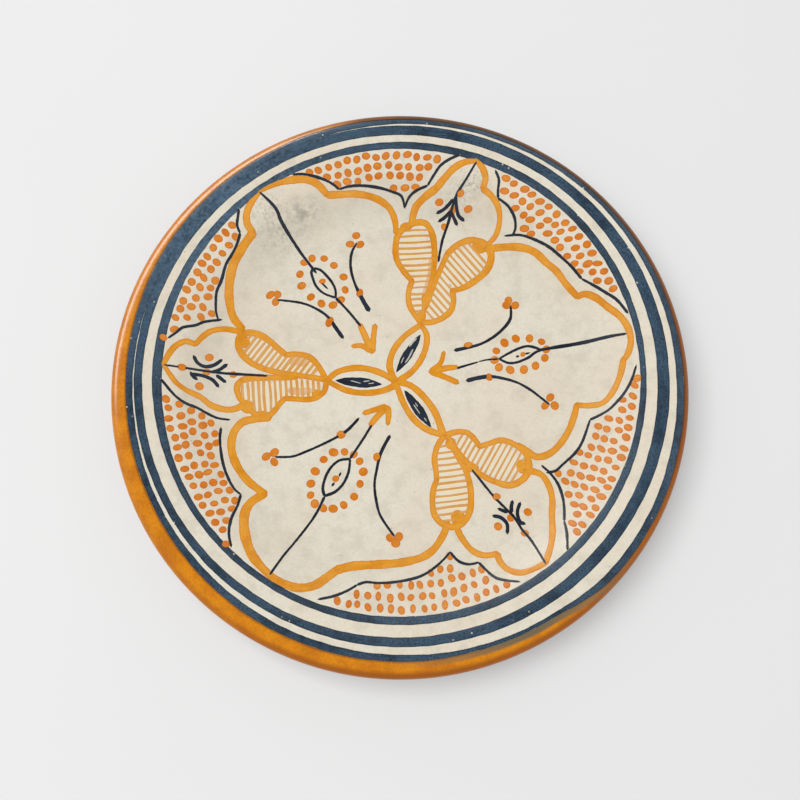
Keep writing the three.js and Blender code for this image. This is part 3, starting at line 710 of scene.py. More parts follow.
# %% [markdown]
# ## The brush
# A stroke could be a curve object with a bevel, but a ribbon of faces is easier to lay on a curved face
# and can carry its own attributes. A grid is made with the bmesh grid operator, its long way is bent
# along a smooth line through a few points, and its short way is given the stroke's width. The edges dip
# just under the glaze and the middle stands a few hundredths of a millimetre above it.

# %% A smooth line through a few points
BRUSH_STEP = 1.0
ACROSS = 6
SOFT_EDGE = 0.16
SPAN_SAMPLES = 10


def span_point(near, knots, share):
    """A point of the centripetal Catmull-Rom curve between the middle two of four points."""
    at = knots[1] + (knots[2] - knots[1]) * share

    def between(a, b, i, j):
        gap = knots[j] - knots[i]
        return a * ((knots[j] - at) / gap) + b * ((at - knots[i]) / gap)

    a = between(near[0], near[1], 0, 1)
    b = between(near[1], near[2], 1, 2)
    c = between(near[2], near[3], 2, 3)
    return between(between(a, b, 0, 2), between(b, c, 1, 3), 1, 2)


def smooth_line(points):
    """Evenly spaced places and distances along a smooth line through points."""
    spots = [Vector(point) for point in points]
    padded = [spots[0] * 2 - spots[1], *spots, spots[-1] * 2 - spots[-2]]
    dense = []
    for i in range(len(spots) - 1):
        near = padded[i : i + 4]
        knots = [0.0]
        for a, b in zip(near, near[1:]):
            knots.append(knots[-1] + math.sqrt((b - a).length))
        dense += [span_point(near, knots, j / SPAN_SAMPLES) for j in range(SPAN_SAMPLES)]
    dense.append(spots[-1])
    gaps = [(b - a).length for a, b in zip(dense, dense[1:])]
    run = np.concatenate([[0.0], np.cumsum(gaps)])
    count = max(3, math.ceil(run[-1] / BRUSH_STEP))
    even = np.linspace(0.0, run[-1], count + 1)
    xs = np.interp(even, run, [spot.x for spot in dense])
    ys = np.interp(even, run, [spot.y for spot in dense])
    return xs, ys, float(run[-1])


# %% Shapes of a stroke's ends
def round_ends(along, length, half):
    """Share of the width for a stroke with round ends."""
    inside = half - min(along, length - along)
    if inside <= 0:
        return 1.0
    return math.sqrt(max(0.0, 1 - (inside / half) ** 2))


def leaf_shaped(along, length, half):
    """Share of the width for a seed: pointed at both ends."""
    return math.sin(math.pi * min(1.0, max(0.0, along / length))) ** 0.75


# %% [markdown]
# Two strokes that cross must not lie in the same place, or the renderer can't tell which is on top. So
# each kind of mark has its own height, and each stroke of a kind is a hair higher than the last.

# %% Lay strokes and dabs
LIFT = {
    "glow": 0.010, "wash": 0.016, "dot": 0.028, "hatch": 0.040,
    "outline": 0.055, "line": 0.080, "bead": 0.100,
}
SETTLE = 0.015
HAIR = 0.001
POOL_REACH = 1.7
THICKNESS = 0.12
OVERRUN = {"outline": 0.42, "line": 0.35, "hatch": 0.0, "wash": 0.0, "glow": 0.0, "bead": 0.0}


def run_past(points, reach):
    """The same points with both ends carried on by a short reach."""
    spots = [Vector(point) for point in points]
    first = spots[0] + (spots[0] - spots[1]).normalized() * reach
    last = spots[-1] + (spots[-1] - spots[-2]).normalized() * reach
    return [first, *spots, last] if reach > 0 else spots


class Brushwork:
    """A painted part: one mesh that gathers all its strokes and dabs."""

    def __init__(self, name, paints, seed):
        self.name = name
        self.paints = paints
        self.random = random.Random(seed)
        self.whole = self.fresh()[0]
        self.count = 0

    def fresh(self):
        """An empty mesh with the two layers that the paint reads."""
        bm = bmesh.new()
        return bm, bm.verts.layers.float_vector.new("stroke"), bm.verts.layers.float.new("pool")

    def height(self, kind):
        self.count += 1
        return LIFT[kind] + HAIR * (self.count % 12)

    def gather(self, bm, paint=0):
        """Adds one stroke's own mesh to the piece, with its faces up and its border kept crisp."""
        for face in bm.faces:
            face.material_index = paint
            face.normal_update()
            if face.normal.z < 0:
                face.normal_flip()
        for edge in bm.edges:
            edge.smooth = not edge.is_boundary
        mesh = bpy.data.meshes.new("stroke")
        bm.to_mesh(mesh)
        bm.free()
        self.whole.from_mesh(mesh)
        bpy.data.meshes.remove(mesh)

    def stroke(self, points, width, kind="outline", ends=round_ends, paint=0, pool=0.6):
        """One pull of the brush. The width is a number, or several that are spread along the pull."""
        widths = width if isinstance(width, (tuple, list)) else (width, width)
        xs, ys, length = smooth_line(run_past(points, OVERRUN[kind] * min(widths)))
        count = len(xs) - 1
        bm, stroke_layer, pool_layer = self.fresh()
        bmesh.ops.create_grid(bm, x_segments=count, y_segments=ACROSS, size=1.0)
        lift = self.height(kind)
        shift = self.random.uniform(0, 200)
        sway = self.random.uniform(0, math.tau)
        for vert in bm.verts:
            index = round((vert.co.x + 1) / 2 * count)
            side = vert.co.y
            along = length * index / count
            before, after = max(0, index - 1), min(count, index + 1)
            heading = Vector((xs[after] - xs[before], ys[after] - ys[before])).normalized()
            full = float(np.interp(along / length, np.linspace(0, 1, len(widths)), widths)) / 2
            full *= 1 + 0.05 * math.sin(along * 0.55 + sway) + 0.03 * math.sin(along * 1.7 - sway)
            half = full * ends(along, length, full) + SOFT_EDGE
            reach = side * half
            tip = SOFT_EDGE if index == count else -SOFT_EDGE if index == 0 else 0.0
            x = xs[index] - heading.y * reach + heading.x * tip
            y = ys[index] + heading.x * reach + heading.y * tip
            fall = side**4
            to_end = min(along, length - along)
            edge = (1 - abs(side)) * half - SOFT_EDGE
            edge = min(edge, to_end - SOFT_EDGE) if ends is not round_ends else edge
            vert.co = on_face(x, y, lift * (1 - fall) - SETTLE * fall)
            vert[stroke_layer] = Vector((along + shift, reach + shift, edge))
            vert[pool_layer] = pool * math.exp(-((to_end / POOL_REACH) ** 2))
        self.gather(bm, paint)

    def dab(self, spot, size, turn=0.0, kind="dot", paint=0, pool=0.0):
        """One touch of the brush: the upper half of a very flat pebble."""
        bm, stroke_layer, pool_layer = self.fresh()
        bmesh.ops.create_uvsphere(bm, u_segments=14, v_segments=8, radius=1.0)
        lower = [vert for vert in bm.verts if vert.co.z < -0.01]
        bmesh.ops.delete(bm, geom=lower, context="VERTS")
        lift = self.height(kind)
        lobe = self.random.uniform(0, math.tau)
        shift = self.random.uniform(0, 200)
        for vert in bm.verts:
            bulge = 1 + 0.06 * math.sin(2 * math.atan2(vert.co.y, vert.co.x) + lobe)
            x = vert.co.x * bulge * (size[0] / 2 + SOFT_EDGE)
            y = vert.co.y * bulge * (size[1] / 2 + SOFT_EDGE)
            reach = math.hypot(vert.co.x, vert.co.y)
            px = spot[0] + x * math.cos(turn) - y * math.sin(turn)
            py = spot[1] + x * math.sin(turn) + y * math.cos(turn)
            fall = reach**4
            vert.co = on_face(px, py, lift * (1 - fall) - SETTLE * fall)
            edge = (1 - reach) * min(size) / 2 - SOFT_EDGE * reach
            vert[stroke_layer] = Vector((x + shift, y + shift, edge))
            vert[pool_layer] = pool
        self.gather(bm, paint)

    def finish(self, slot, *cad_nodes):
        """Hands the piece over. A Solidify modifier gives each ribbon a closed underside in the glaze."""
        piece = finished(self.name, self.whole, self.paints)
        solid = piece.modifiers.new("paint_depth", "SOLIDIFY")
        solid.thickness = THICKNESS * MM
        solid.offset = -1
        adopt(piece, slot, *cad_nodes)


print("widest part of a soft edge:", SOFT_EDGE, "mm")


# %% [markdown]
# ## Bands round the rim
# The painter held a loaded brush against the turning plate, three times. Each band is a ring about its
# own middle, because the plate was never quite centred, and its width swells and shrinks. The ring is the
# same grid as a stroke, bent into a circle and joined to itself.

# %% Bands
BAND_STEPS = 720
BAND_ACROSS = 8
BAND_JITTER = 0.045


def make_band(name, seed):
    """A band: a long grid bent into a ring, whose two edges waver by themselves."""
    sizes = BANDS[name]
    work = Brushwork(name + "_brushwork", [cobalt_band], seed)
    bm, stroke_layer, pool_layer = work.fresh()
    bmesh.ops.create_grid(bm, x_segments=BAND_STEPS, y_segments=BAND_ACROSS, size=1.0)
    lift = LIFT["line"] if name == "band_outer" else LIFT["outline"]
    edges = {side: [(BAND_JITTER, count, work.random.uniform(0, math.tau)) for count in (9, 23, 57, 91)]
             for side in (-1, 1)}
    for vert in bm.verts:
        angle = math.pi * (vert.co.x + 1)
        side = vert.co.y
        ring, width = band_ring(name, angle)
        half = width / 2
        half += waves(angle, edges[1 if side > 0 else -1]) + SOFT_EDGE
        radius = ring + side * half
        x = sizes["middle"][0] + radius * math.cos(angle)
        y = sizes["middle"][1] + radius * math.sin(angle)
        fall = side**4
        vert.co = on_face(x, y, lift * (1 - fall) - SETTLE * fall)
        edge = (1 - abs(side)) * half - SOFT_EDGE
        vert[stroke_layer] = Vector((sizes["radius"] * angle, side * half, edge))
        vert[pool_layer] = 0.0
    bmesh.ops.remove_doubles(bm, verts=bm.verts, dist=0.005 * MM)
    work.gather(bm)
    work.finish("cobalt_paint", name)


for seed, band in enumerate(BANDS):
    make_band(band, 40 + seed)


# %% [markdown]
# ## The flower
# The flower grows from three almonds in the middle. Each leads to a forked pair of hatched leaves and a
# bud, and three large petals fill the space between. The lists that follow are the painter's strokes:
# each is its width and the few places the brush went through, in millimetres from the middle.

# %% Almonds and seeds
ALMONDS = [
    ((2.6, 3.2, 3.2, 3.0), [(-35, 4), (-30, 8), (-20, 10), (-10, 7.8), (-2.5, 3.5)]),
    ((2.8, 3.0, 3.1, 3.3), [(-35, 3.6), (-26, -1), (-17, -2.4), (-8, -1.2), (-1, 2)]),
    ((3.2, 3.2, 3.0, 2.8), [(-2, 3), (-5, 10.5), (-3.2, 18.5), (2, 25.5), (10, 31.5)]),
    ((3.2, 3.0, 3.0, 2.6), [(-1, 3.5), (5, 7.5), (9.8, 13.5), (12.8, 21.5), (12.8, 27), (10.6, 31)]),
    ((3.2, 3.2, 3.4, 3.6), [(-1.5, 3.2), (5, 1.3), (12, -5), (17, -12.5), (20.5, -22.5)]),
    ((3.0, 3.0, 3.2, 3.0), [(-2, 3), (-0.6, -1.5), (2, -8), (6, -14.5), (12, -19.8), (20, -22.8)]),
]
ALMOND_KNOT = ((-2, 2.6), (5.0, 4.6))


def make_almonds():
    """The three almonds, and the knot of paint where they meet."""
    work = Brushwork("almond_brushwork", [orange_line], 1)
    for width, points in ALMONDS:
        work.stroke(points, width)
    work.dab(*ALMOND_KNOT)
    work.finish("orange_paint", "almond_trefoil")


SEEDS = {
    "seed_w": ((-19.8, 2.8), -5, 5.0, [
        (0.45, [(-17.5, 3.2), (-14.8, 3.6)]),
        (0.4, [(-15.0, 2.2), (-12.6, 2.5)]),
        (0.3, [(-23.5, 3.6), (-19.0, 2.4)]),
    ]),
    "seed_n": ((4.1, 17.2), 58, 4.6, [
        (0.95, [(4.6, 20.6), (6.3, 23.0), (8.0, 24.6)]),
        (0.75, [(2.6, 12.6), (4.4, 15.4), (6.2, 19.2)]),
        (0.4, [(0.6, 12.4), (1.8, 15.2)]),
    ]),
    "seed_se": ((8.5, -10.2), -55, 4.8, [
        (0.4, [(6.6, -8.2), (9.4, -12.4)]),
        (0.35, [(11.6, -14.6), (12.6, -16.0)]),
        (0.3, [(7.4, -7.4), (8.4, -9.0)]),
    ]),
}
SEED_LENGTH = 19.0


def make_seed(name, seed):
    """A pointed seed with a few thin lines where the cream shows through."""
    middle, degrees, width, glints = SEEDS[name]
    turn = math.radians(degrees)
    heading = Vector((math.cos(turn), math.sin(turn))) * (SEED_LENGTH / 2)
    work = Brushwork(name + "_brushwork", [cobalt_line, cream_glint], seed)
    ends = [Vector(middle) - heading, Vector(middle), Vector(middle) + heading]
    work.stroke([tuple(end) for end in ends], width, "line", leaf_shaped, pool=0.0)
    for glint_width, points in glints:
        work.stroke(points, glint_width, "bead", paint=1, pool=0.0)
    work.finish("cobalt_paint", name)


make_almonds()
for seed, name in enumerate(SEEDS):
    make_seed(name, 2 + seed)


# %% [markdown]
# Each leaf has a pale wash, hatching across it with a thin brush, and an outline on top. The hatching
# follows a line from the leaf's stalk to its far end, and each bar stops under the outline on both sides.

# %% Leaves
LEAVES = {
    "leaves_w": {
        "outline": [
            ((2.6, 3.0, 2.8), [(-35.5, 4.2), (-40.3, 12.2), (-44.5, 15.7), (-50, 16.8), (-55, 16.4)]),
            ((2.8, 3.2, 3.6, 3.2, 2.8), [(-55, 16.4), (-58.5, 19.2), (-62.7, 23), (-67.6, 26.2),
                                         (-73.2, 27.6), (-77.4, 26), (-78.4, 21.3), (-76, 16.4),
                                         (-71.4, 12.2), (-65, 9.3)]),
            ((2.8, 3.0, 2.6), [(-65, 9.3), (-58, 7.6), (-50, 6.4), (-42, 5.2), (-35.5, 4)]),
            ((2.6, 2.8, 2.6), [(-35.5, 3.8), (-36.1, -1.1), (-39.4, -4.4), (-44.5, -5.6), (-50, -5.3),
                               (-55, -5)]),
            ((2.6, 3.2, 3.0, 3.2), [(-55, -5), (-57.4, -7.4), (-59.9, -10.9), (-63, -13.6), (-69, -12.8),
                                    (-73.2, -8.8), (-77.2, -4), (-78.3, 0.8), (-76, 4)]),
            ((3.2, 3.0, 2.8), [(-76, 4), (-70, 5), (-60, 5.2), (-50, 5.4)]),
        ],
        "hatching": [
            {"from": (-40.5, 9), "to": (-75, 22.5), "tilt": -15, "pitch": 2.6, "width": 1.5},
            {"from": (-39, 0.6), "to": (-75.5, -2.6), "tilt": 0, "pitch": 2.6, "width": 1.5},
        ],
        "blots": [((-76, 23), (6, 5)), ((-73, -9), (6, 5.5)), ((-66, -13.4), (6, 4)), ((-40, -2.6), (4, 3.4)),
                  ((-55, 5.6), (7, 3.4))],
        "wash": [(6.5, [(-44, 12), (-50, 13.4), (-54, 13)]), (5, [(-42, -1), (-48, -1.6), (-54, -1)])],
    },
    "leaves_n": {
        "outline": [
            ((2.6, 2.8, 2.8), [(10, 32.6), (6.9, 37), (4.5, 42), (4.2, 47.8), (5.9, 54)]),
            ((2.8, 3.0, 3.4, 3.2, 3.0), [(5.9, 54), (1.7, 59), (-1.7, 65.3), (-2.1, 73), (-0.7, 78.4),
                                         (3.5, 82.2), (8, 84.2), (12.6, 83.8), (15.4, 80), (16.8, 73.7),
                                         (17.1, 67)]),
            ((3.0, 2.6, 2.6), [(17.1, 67), (16, 56), (13.6, 47.8), (12, 40.8), (10.6, 34)]),
            ((2.8, 3.0, 2.8), [(10.4, 33), (14.3, 32.7), (19.9, 34.5), (24.8, 38.7), (26.2, 44.3),
                               (25.5, 48.8)]),
            ((2.8, 3.4, 3.8, 3.4, 3.0), [(25.5, 48.8), (31.1, 50.4), (37, 54.1), (42.3, 59), (44.8, 64.6),
                                         (44.4, 70), (40.9, 73.7), (35.3, 75), (29, 73), (23.4, 68)]),
            ((2.8, 2.6, 2.4), [(23.4, 68), (20.3, 61), (17.5, 54), (15, 47), (12.4, 40)]),
        ],
        "hatching": [
            {"from": (9.2, 38.5), "to": (7, 80), "tilt": 0, "pitch": 2.9, "width": 1.15},
            {"from": (15, 36), "to": (37.5, 69), "tilt": -16, "pitch": 2.9, "width": 1.25},
        ],
        "blots": [((3, 82), (5, 4)), ((39, 71), (6, 5)), ((10.4, 36), (3.6, 5)), ((12, 44), (2.6, 6))],
        "wash": [(5.4, [(12.3, 46), (15, 55), (16.6, 66)])],
    },
    "leaves_se": {
        "outline": [
            ((3.0, 2.8, 2.6), [(21.6, -23), (27, -21.4), (32, -21.8), (36, -25.7), (37.7, -28.5)]),
            ((2.6, 2.8, 3.2, 3.4, 2.8), [(37.7, -28.5), (42.3, -27), (48, -25.4), (54, -27.2), (59.3, -31.3),
                                         (61, -36), (60.3, -41), (56.7, -45), (51.3, -46.9), (44, -45)]),
            ((2.8, 2.8, 2.8), [(44, -45), (37.3, -41.3), (31, -35.3), (26, -29), (22.4, -23.6)]),
            ((2.8, 2.8, 2.6), [(21, -23.4), (17.7, -28.3), (16.3, -34.3), (17, -40.3), (17.3, -44.3)]),
            ((2.6, 2.8, 3.2, 3.0, 2.8), [(17.3, -44.3), (15.7, -49), (15.2, -55.3), (16.3, -61),
                                         (19.7, -65), (24.3, -66.4), (29.3, -64.7), (32.7, -59),
                                         (33.4, -51.7), (32.8, -45.7)]),
            ((2.8, 2.8, 2.6), [(32.8, -45.7), (30.7, -39), (27.3, -33), (23, -25.4)]),
        ],
        "hatching": [
            {"from": (27.5, -26.8), "to": (56.5, -38.2), "tilt": -8, "pitch": 2.7, "width": 1.05},
            {"from": (20.2, -28.5), "to": (24.6, -63), "tilt": 0, "pitch": 2.8, "width": 1.1},
        ],
        "blots": [((58, -38), (5, 6)), ((27, -62), (6, 6)), ((24, -27), (4, 5)), ((33, -38.4), (7, 4))],
        "wash": [(3.4, [(23, -27), (28, -33), (34, -38.5)])],
    },
}
HATCH, WASH, GLOW = 1, 2, 3
LONGEST_BAR = 16.0
BLOT_SPREAD = 1.25
UNDER_OUTLINE = 0.4
GLOW_OVERLAP = 0.6
BOW = 0.35


def leaf_fence(pulls):
    """The closed middle line of one leaf's outline."""
    fence = []
    for _, points in pulls:
        xs, ys, _ = smooth_line(points)
        fence += [Vector((x, y)) for x, y in zip(xs, ys)]
    return fence


def reach_to(fence, spot, heading):
    """How far a bar can run from a spot before it meets the leaf's outline."""
    far = spot + heading * LONGEST_BAR
    hits = [intersect_line_line_2d(spot, far, a, b) for a, b in zip(fence, fence[1:] + fence[:1])]
    return min([(hit - spot).length for hit in hits if hit], default=UNDER_OUTLINE) - UNDER_OUTLINE


def hatch_bars(hatching, fence):
    """The bars across one leaf, as pairs of ends that stop under its outline."""
    start, end = Vector(hatching["from"]), Vector(hatching["to"])
    axis = end - start
    across = axis.normalized()
    across.rotate(Matrix.Rotation(math.radians(90 + hatching["tilt"]), 2))
    bars = round(axis.length / hatching["pitch"])
    for i in range(bars + 1):
        spot = start + axis * (i / bars)
        yield spot - across * reach_to(fence, spot, -across), spot + across * reach_to(fence, spot, across)


def make_leaves(name, seed):
    """A forked pair of leaves. The first three pulls outline one, and the last three the other."""
    parts = LEAVES[name]
    paints = [orange_line, orange_hatch, orange_wash, yellow_wash]
    work = Brushwork(name + "_brushwork", paints, seed)
    for index, hatching in enumerate(parts["hatching"]):
        bars = list(hatch_bars(hatching, leaf_fence(parts["outline"][3 * index : 3 * index + 3])))
        middles = [tuple((low + high) / 2) for low, high in bars]
        widths = [(high - low).length + GLOW_OVERLAP for low, high in bars]
        work.stroke(middles, widths, "glow", paint=GLOW, pool=0.0)
        for width, points in parts["wash"][index::2]:
            work.stroke(points, width, "wash", paint=WASH, pool=0.0)
        for low, high in bars:
            bow = work.random.uniform(-BOW, BOW)
            middle = (low + high) / 2 + (high - low).normalized().yx * bow
            width = hatching["width"] * work.random.uniform(0.8, 1.15)
            work.stroke([tuple(low), tuple(middle), tuple(high)], width, "hatch", paint=HATCH, pool=0.3)
    for width, points in parts["outline"]:
        work.stroke(points, width)
    for spot, size in parts["blots"]:
        work.dab(spot, [side * BLOT_SPREAD for side in size], kind="outline", pool=0.08)
    work.finish("orange_paint", name)


for seed, name in enumerate(LEAVES):
    make_leaves(name, 10 + seed)


# %% [markdown]
# The large petals were drawn with the broadest brush, lifted at each cusp. The buds took a smaller one,
# and are painted later, each with its own spine.

# %% Petals and buds
PETALS = {
    "petal_nw": [
        ((3.4, 4.0, 4.0, 3.6), [(-76.6, 29.6), (-81, 35), (-82.8, 42), (-82.9, 50), (-81.6, 57.5),
                                (-79.1, 63.8), (-75, 70.5), (-71.5, 75.5)]),
        ((3.4, 3.4, 2.8, 1.8), [(-71.5, 75.5), (-74, 78.7), (-74.3, 83), (-72.4, 87.9), (-68, 93.6)]),
        ((1.8, 2.6, 3.2, 3.4, 3.4), [(-68, 94), (-62, 97.4), (-55, 99.8), (-46.8, 101.2), (-40.8, 99.9),
                                     (-35.7, 95.5)]),
        ((3.2, 3.0, 3.0, 3.2, 3.0, 2.6), [(-35.7, 95.5), (-30, 96.1), (-22.1, 96.8), (-14, 95.8),
                                          (-8.5, 93.6), (-4.9, 90.6), (-2.6, 85.6), (-2, 79)]),
    ],
    "petal_e": [
        ((3.4, 3.6, 3.2, 3.0, 2.8), [(42, 70.4), (52, 71.1), (59.8, 70.2), (66.1, 67.4), (71.7, 61.8),
                                     (76.3, 57.4), (80.7, 50.9), (86, 44.2)]),
        ((3.2, 3.0, 2.8, 2.6), [(86, 44.2), (89.1, 45), (94, 42.5), (99.3, 37.2), (104.5, 32), (108, 25.7),
                                (108.9, 19.4), (107.2, 13.1), (105.6, 11.4)]),
        ((2.8, 2.6, 2.6, 2.8), [(105.6, 11.4), (104.2, 4.7), (100.7, -3.4), (96.1, -8.3), (90.2, -9),
                                (84.6, -8.3)]),
        ((3.0, 3.0, 3.2, 3.4), [(84.6, -8.3), (82.8, -14.6), (80.4, -20.5), (76.2, -27), (70.9, -31.8),
                                (65, -33.4), (60, -30.6), (56, -28)]),
    ],
    "petal_sw": [
        ((3.6, 3.8, 3.8, 3.4), [(-62.6, -14.4), (-69.6, -15.2), (-75, -16.7), (-78.8, -21.1), (-80, -26.8),
                                (-79.1, -32.9), (-75.9, -39.5), (-70.9, -45.5), (-63.6, -50.9)]),
        ((3.6, 4.2, 4.4, 4.0, 3.0), [(-63.6, -50.9), (-69, -54.4), (-71.8, -58.8), (-72.1, -65.8),
                                     (-70.5, -73.1), (-67.4, -80), (-62.6, -85.8), (-58, -90)]),
        ((3.0, 3.8, 4.2, 4.0), [(-58, -90), (-53.1, -92.7), (-46.2, -94.9), (-38.9, -93.7), (-33.5, -89.9),
                                (-29.1, -86.4)]),
        ((4.4, 4.0, 3.8, 3.4, 3.0), [(-29.1, -86.4), (-23, -84.8), (-17.7, -84.2), (-10, -83.8), (0, -83),
                                     (10.7, -80.3), (15.7, -76.7), (19.7, -71), (22.4, -65)]),
    ],
}
BUDS = {
    "bud_w": [
        ((2.8, 2.6, 2.4), [(-76, 27.6), (-84.4, 29), (-91, 27.2), (-94.9, 23.8), (-97.7, 19.9)]),
        ((2.6, 2.6, 2.2), [(-97.7, 19.9), (-101.9, 20.6), (-106.1, 17.8), (-109, 13.2), (-111, 8.3)]),
        ((2.0, 2.4, 3.0, 3.0), [(-111, 8.3), (-108.6, 4.5), (-105.4, 0.3), (-100.9, -2.8), (-94.9, -5.3),
                                (-90, -8.8), (-83.7, -10.5), (-78.8, -10.2), (-74, -7.6)]),
    ],
    "bud_n": [
        ((3.2, 3.5, 3.4), [(5.6, 83), (7.7, 91.2), (12.2, 95.7), (17.8, 99.2)]),
        ((3.4, 3.2, 2.4), [(17.8, 99.2), (22.4, 103.8), (26.6, 107.4), (32, 109.6), (37.4, 110)]),
        ((2.4, 3.0, 3.0), [(37.4, 110), (40.4, 106.2), (41.8, 101.9), (40.6, 97.8)]),
        ((2.8, 2.5, 2.5), [(40.6, 97.8), (45.1, 94), (48.3, 89), (49, 82.8), (47.2, 76.8), (42.8, 72)]),
    ],
    "bud_se": [
        ((3.0, 2.8, 2.8, 2.6), [(59, -39.6), (66.3, -41.6), (70, -47), (71.3, -54), (70.7, -60.3),
                                (70.3, -69), (69, -75.7), (66, -83.7)]),
        ((2.4, 2.8, 2.8), [(66, -83.7), (60.3, -86.6), (54, -88), (48.7, -86), (45.7, -82), (45, -79)]),
        ((2.8, 2.8, 2.8), [(45, -79), (39.3, -79.7), (34, -77.7), (29.7, -73), (27, -68), (26, -64.6)]),
    ],
}


BROAD_LOAD = 1.05


def make_outline(name, pulls, seed):
    """The outline of a petal or a bud."""
    work = Brushwork(name + "_brushwork", [orange_line], seed)
    for width, points in pulls:
        work.stroke(points, [part * BROAD_LOAD for part in width])
    work.finish("orange_paint", name)


for seed, name in enumerate(PETALS):
    make_outline(name, PETALS[name], 20 + seed)


# %% [markdown]
# Three arrows point at the middle, one in each petal. Each is three fat strokes that meet in its head.

# %% Arrows
ARROWS = {
    "arrow_nw": [
        ((2.6, 3.0, 3.4), [(-12.2, 31), (-12.9, 25), (-13.6, 18)]),
        ((2.8, 3.2, 3.6), [(-19.4, 31.4), (-16.6, 25), (-14.0, 18.4)]),
        ((2.0, 2.8, 3.4), [(-22.8, 20.8), (-18.5, 21), (-14.6, 18.8)]),
    ],
    "arrow_e": [
        ((1.8, 2.6, 3.2), [(21.2, 17.8), (19.6, 12.4), (15.4, 8.6)]),
        ((2.6, 3.0, 3.6), [(27.2, 10.4), (21, 9.6), (14.8, 8)]),
        ((2.6, 3.0, 3.2), [(27.4, 2.8), (21.8, 5.4), (15.2, 8)]),
    ],
    "arrow_sw": [
        ((2.4, 2.8, 3.4), [(-17, -12.2), (-12, -10.6), (-6.8, -9.2)]),
        ((2.6, 3.0, 3.8), [(-14, -18), (-10.6, -13.6), (-6.2, -9.4)]),
        ((2.2, 2.8, 3.4), [(-5.8, -17.4), (-5.5, -13.2), (-6, -9.4)]),
    ],
}
ARROW_HEADS = {"arrow_nw": (-14, 19.2), "arrow_e": (16.4, 8.2), "arrow_sw": (-7.4, -10.4)}
ARROW_BLOB = (4.6, 4.2)
ARROW_POOL = 0.35


def make_arrow(name, seed):
    """An arrow, with a blob of paint where its strokes meet."""
    work = Brushwork(name + "_brushwork", [orange_line], seed)
    for width, points in ARROWS[name]:
        work.stroke(points, width, pool=ARROW_POOL)
    work.dab(ARROW_HEADS[name], ARROW_BLOB, kind="outline", pool=ARROW_POOL)
    work.finish("orange_paint", name)


for seed, name in enumerate(ARROWS):
    make_arrow(name, 30 + seed)


# %% [markdown]
# ## Cobalt lines
# The blue brush is thin and pressed harder where a stroke begins, so its widths fall along the stroke.
# Each eye is two thin curves with a spine out to the petal's tip and one in to the arrow. A ring of
# orange dots goes round it. Some dots lie over the line and some under it, as they dried.

# %% Eyes
EYES = {
    "eye_nw": {
        "lines": [
            ((1.1, 1.3, 1.4), [(-31.5, 45.3), (-31.6, 49), (-33, 52.5), (-36, 56.5), (-39.5, 59.7),
                               (-42.6, 60.4)]),
            ((1.1, 1.2, 1.5), [(-31.5, 45.3), (-37.6, 47.7), (-41.1, 51.2), (-42.7, 55), (-43.6, 58.5),
                               (-42.6, 60.4)]),
            (0.9, [(-38.5, 53), (-37, 51.4), (-35.6, 50)]),
        ],
        "dots": [((-38.1, 53.7), (3.2, 3.0))],
        "ring": {"middle": (-38, 53.7), "turn": 124, "half": (13.5, 9.7), "count": 12, "start": 0.5},
    },
    "eye_e": {
        "lines": [
            ((1.1, 1.3, 1.3), [(47.8, 14.5), (52.7, 17.3), (57.6, 19.7), (61.8, 20.8), (66, 19.9),
                               (68, 18.7)]),
            ((1.1, 1.3, 1.3), [(47.8, 14.5), (52, 12.5), (56.2, 12.7), (62.2, 15.2), (65.3, 17.6),
                               (68, 18.7)]),
            (1.0, [(60.5, 17), (61.6, 17.2), (62.7, 17.5)]),
            (1.1, [(56.4, 15.6), (57.2, 15.8)]),
        ],
        "dots": [((59.4, 16.7), (2.6, 2.4))],
        "ring": {"middle": (58, 16.6), "turn": 11, "half": (13, 8), "count": 12, "start": 0.0},
    },
    "eye_sw": {
        "lines": [
            ((1.2, 1.3, 1.5), [(-23.7, -34.4), (-28.5, -35), (-32.2, -37.9), (-35.1, -43), (-36.3, -48.7),
                               (-35.4, -51.9)]),
            ((1.2, 1.3, 1.5), [(-23.7, -34.4), (-23.8, -37.5), (-24.6, -41.7), (-27.2, -46.8), (-31, -50.3),
                               (-35.4, -51.9)]),
            (1.0, [(-28, -41), (-28.3, -41.8), (-28.6, -42.5)]),
            (1.0, [(-31, -45.8), (-31.5, -46.5), (-32, -47.2)]),
        ],
        "dots": [((-30.3, -43.8), (3.4, 3.2))],
        "ring": {"middle": (-30, -44.5), "turn": 57, "half": (15, 11), "count": 15, "start": 0.0},
    },
}
DAB = 1
RING_DOT = 4.1
RING_SWAY = 0.4


def ring_of_dots(work, ring):
    """Dots round an eye, on an ellipse."""
    turn = math.radians(ring["turn"])
    for i in range(ring["count"]):
        angle = math.tau * (i + ring["start"]) / ring["count"]
        x = ring["half"][0] * math.cos(angle) + work.random.uniform(-RING_SWAY, RING_SWAY)
        y = ring["half"][1] * math.sin(angle) + work.random.uniform(-RING_SWAY, RING_SWAY)
        spot = (
            ring["middle"][0] + x * math.cos(turn) - y * math.sin(turn),
            ring["middle"][1] + x * math.sin(turn) + y * math.cos(turn),
        )
        wide = RING_DOT * work.random.uniform(0.9, 1.08)
        work.dab(spot, (wide, wide * work.random.uniform(0.9, 1.1)), turn, paint=DAB, pool=0.1)


def make_eye(name, seed):
    """An eye, its middle dot and the ring of dots round it."""
    parts = EYES[name]
    work = Brushwork(name + "_brushwork", [cobalt_line, orange_dab], seed)
    for width, points in parts["lines"]:
        work.stroke(points, width, "line", pool=0.0)
    for spot, size in parts["dots"]:
        work.dab(spot, size, kind="bead", paint=DAB)
    ring_of_dots(work, parts["ring"])
    work.finish("cobalt_paint", name)


for seed, name in enumerate(EYES):
    make_eye(name, 50 + seed)


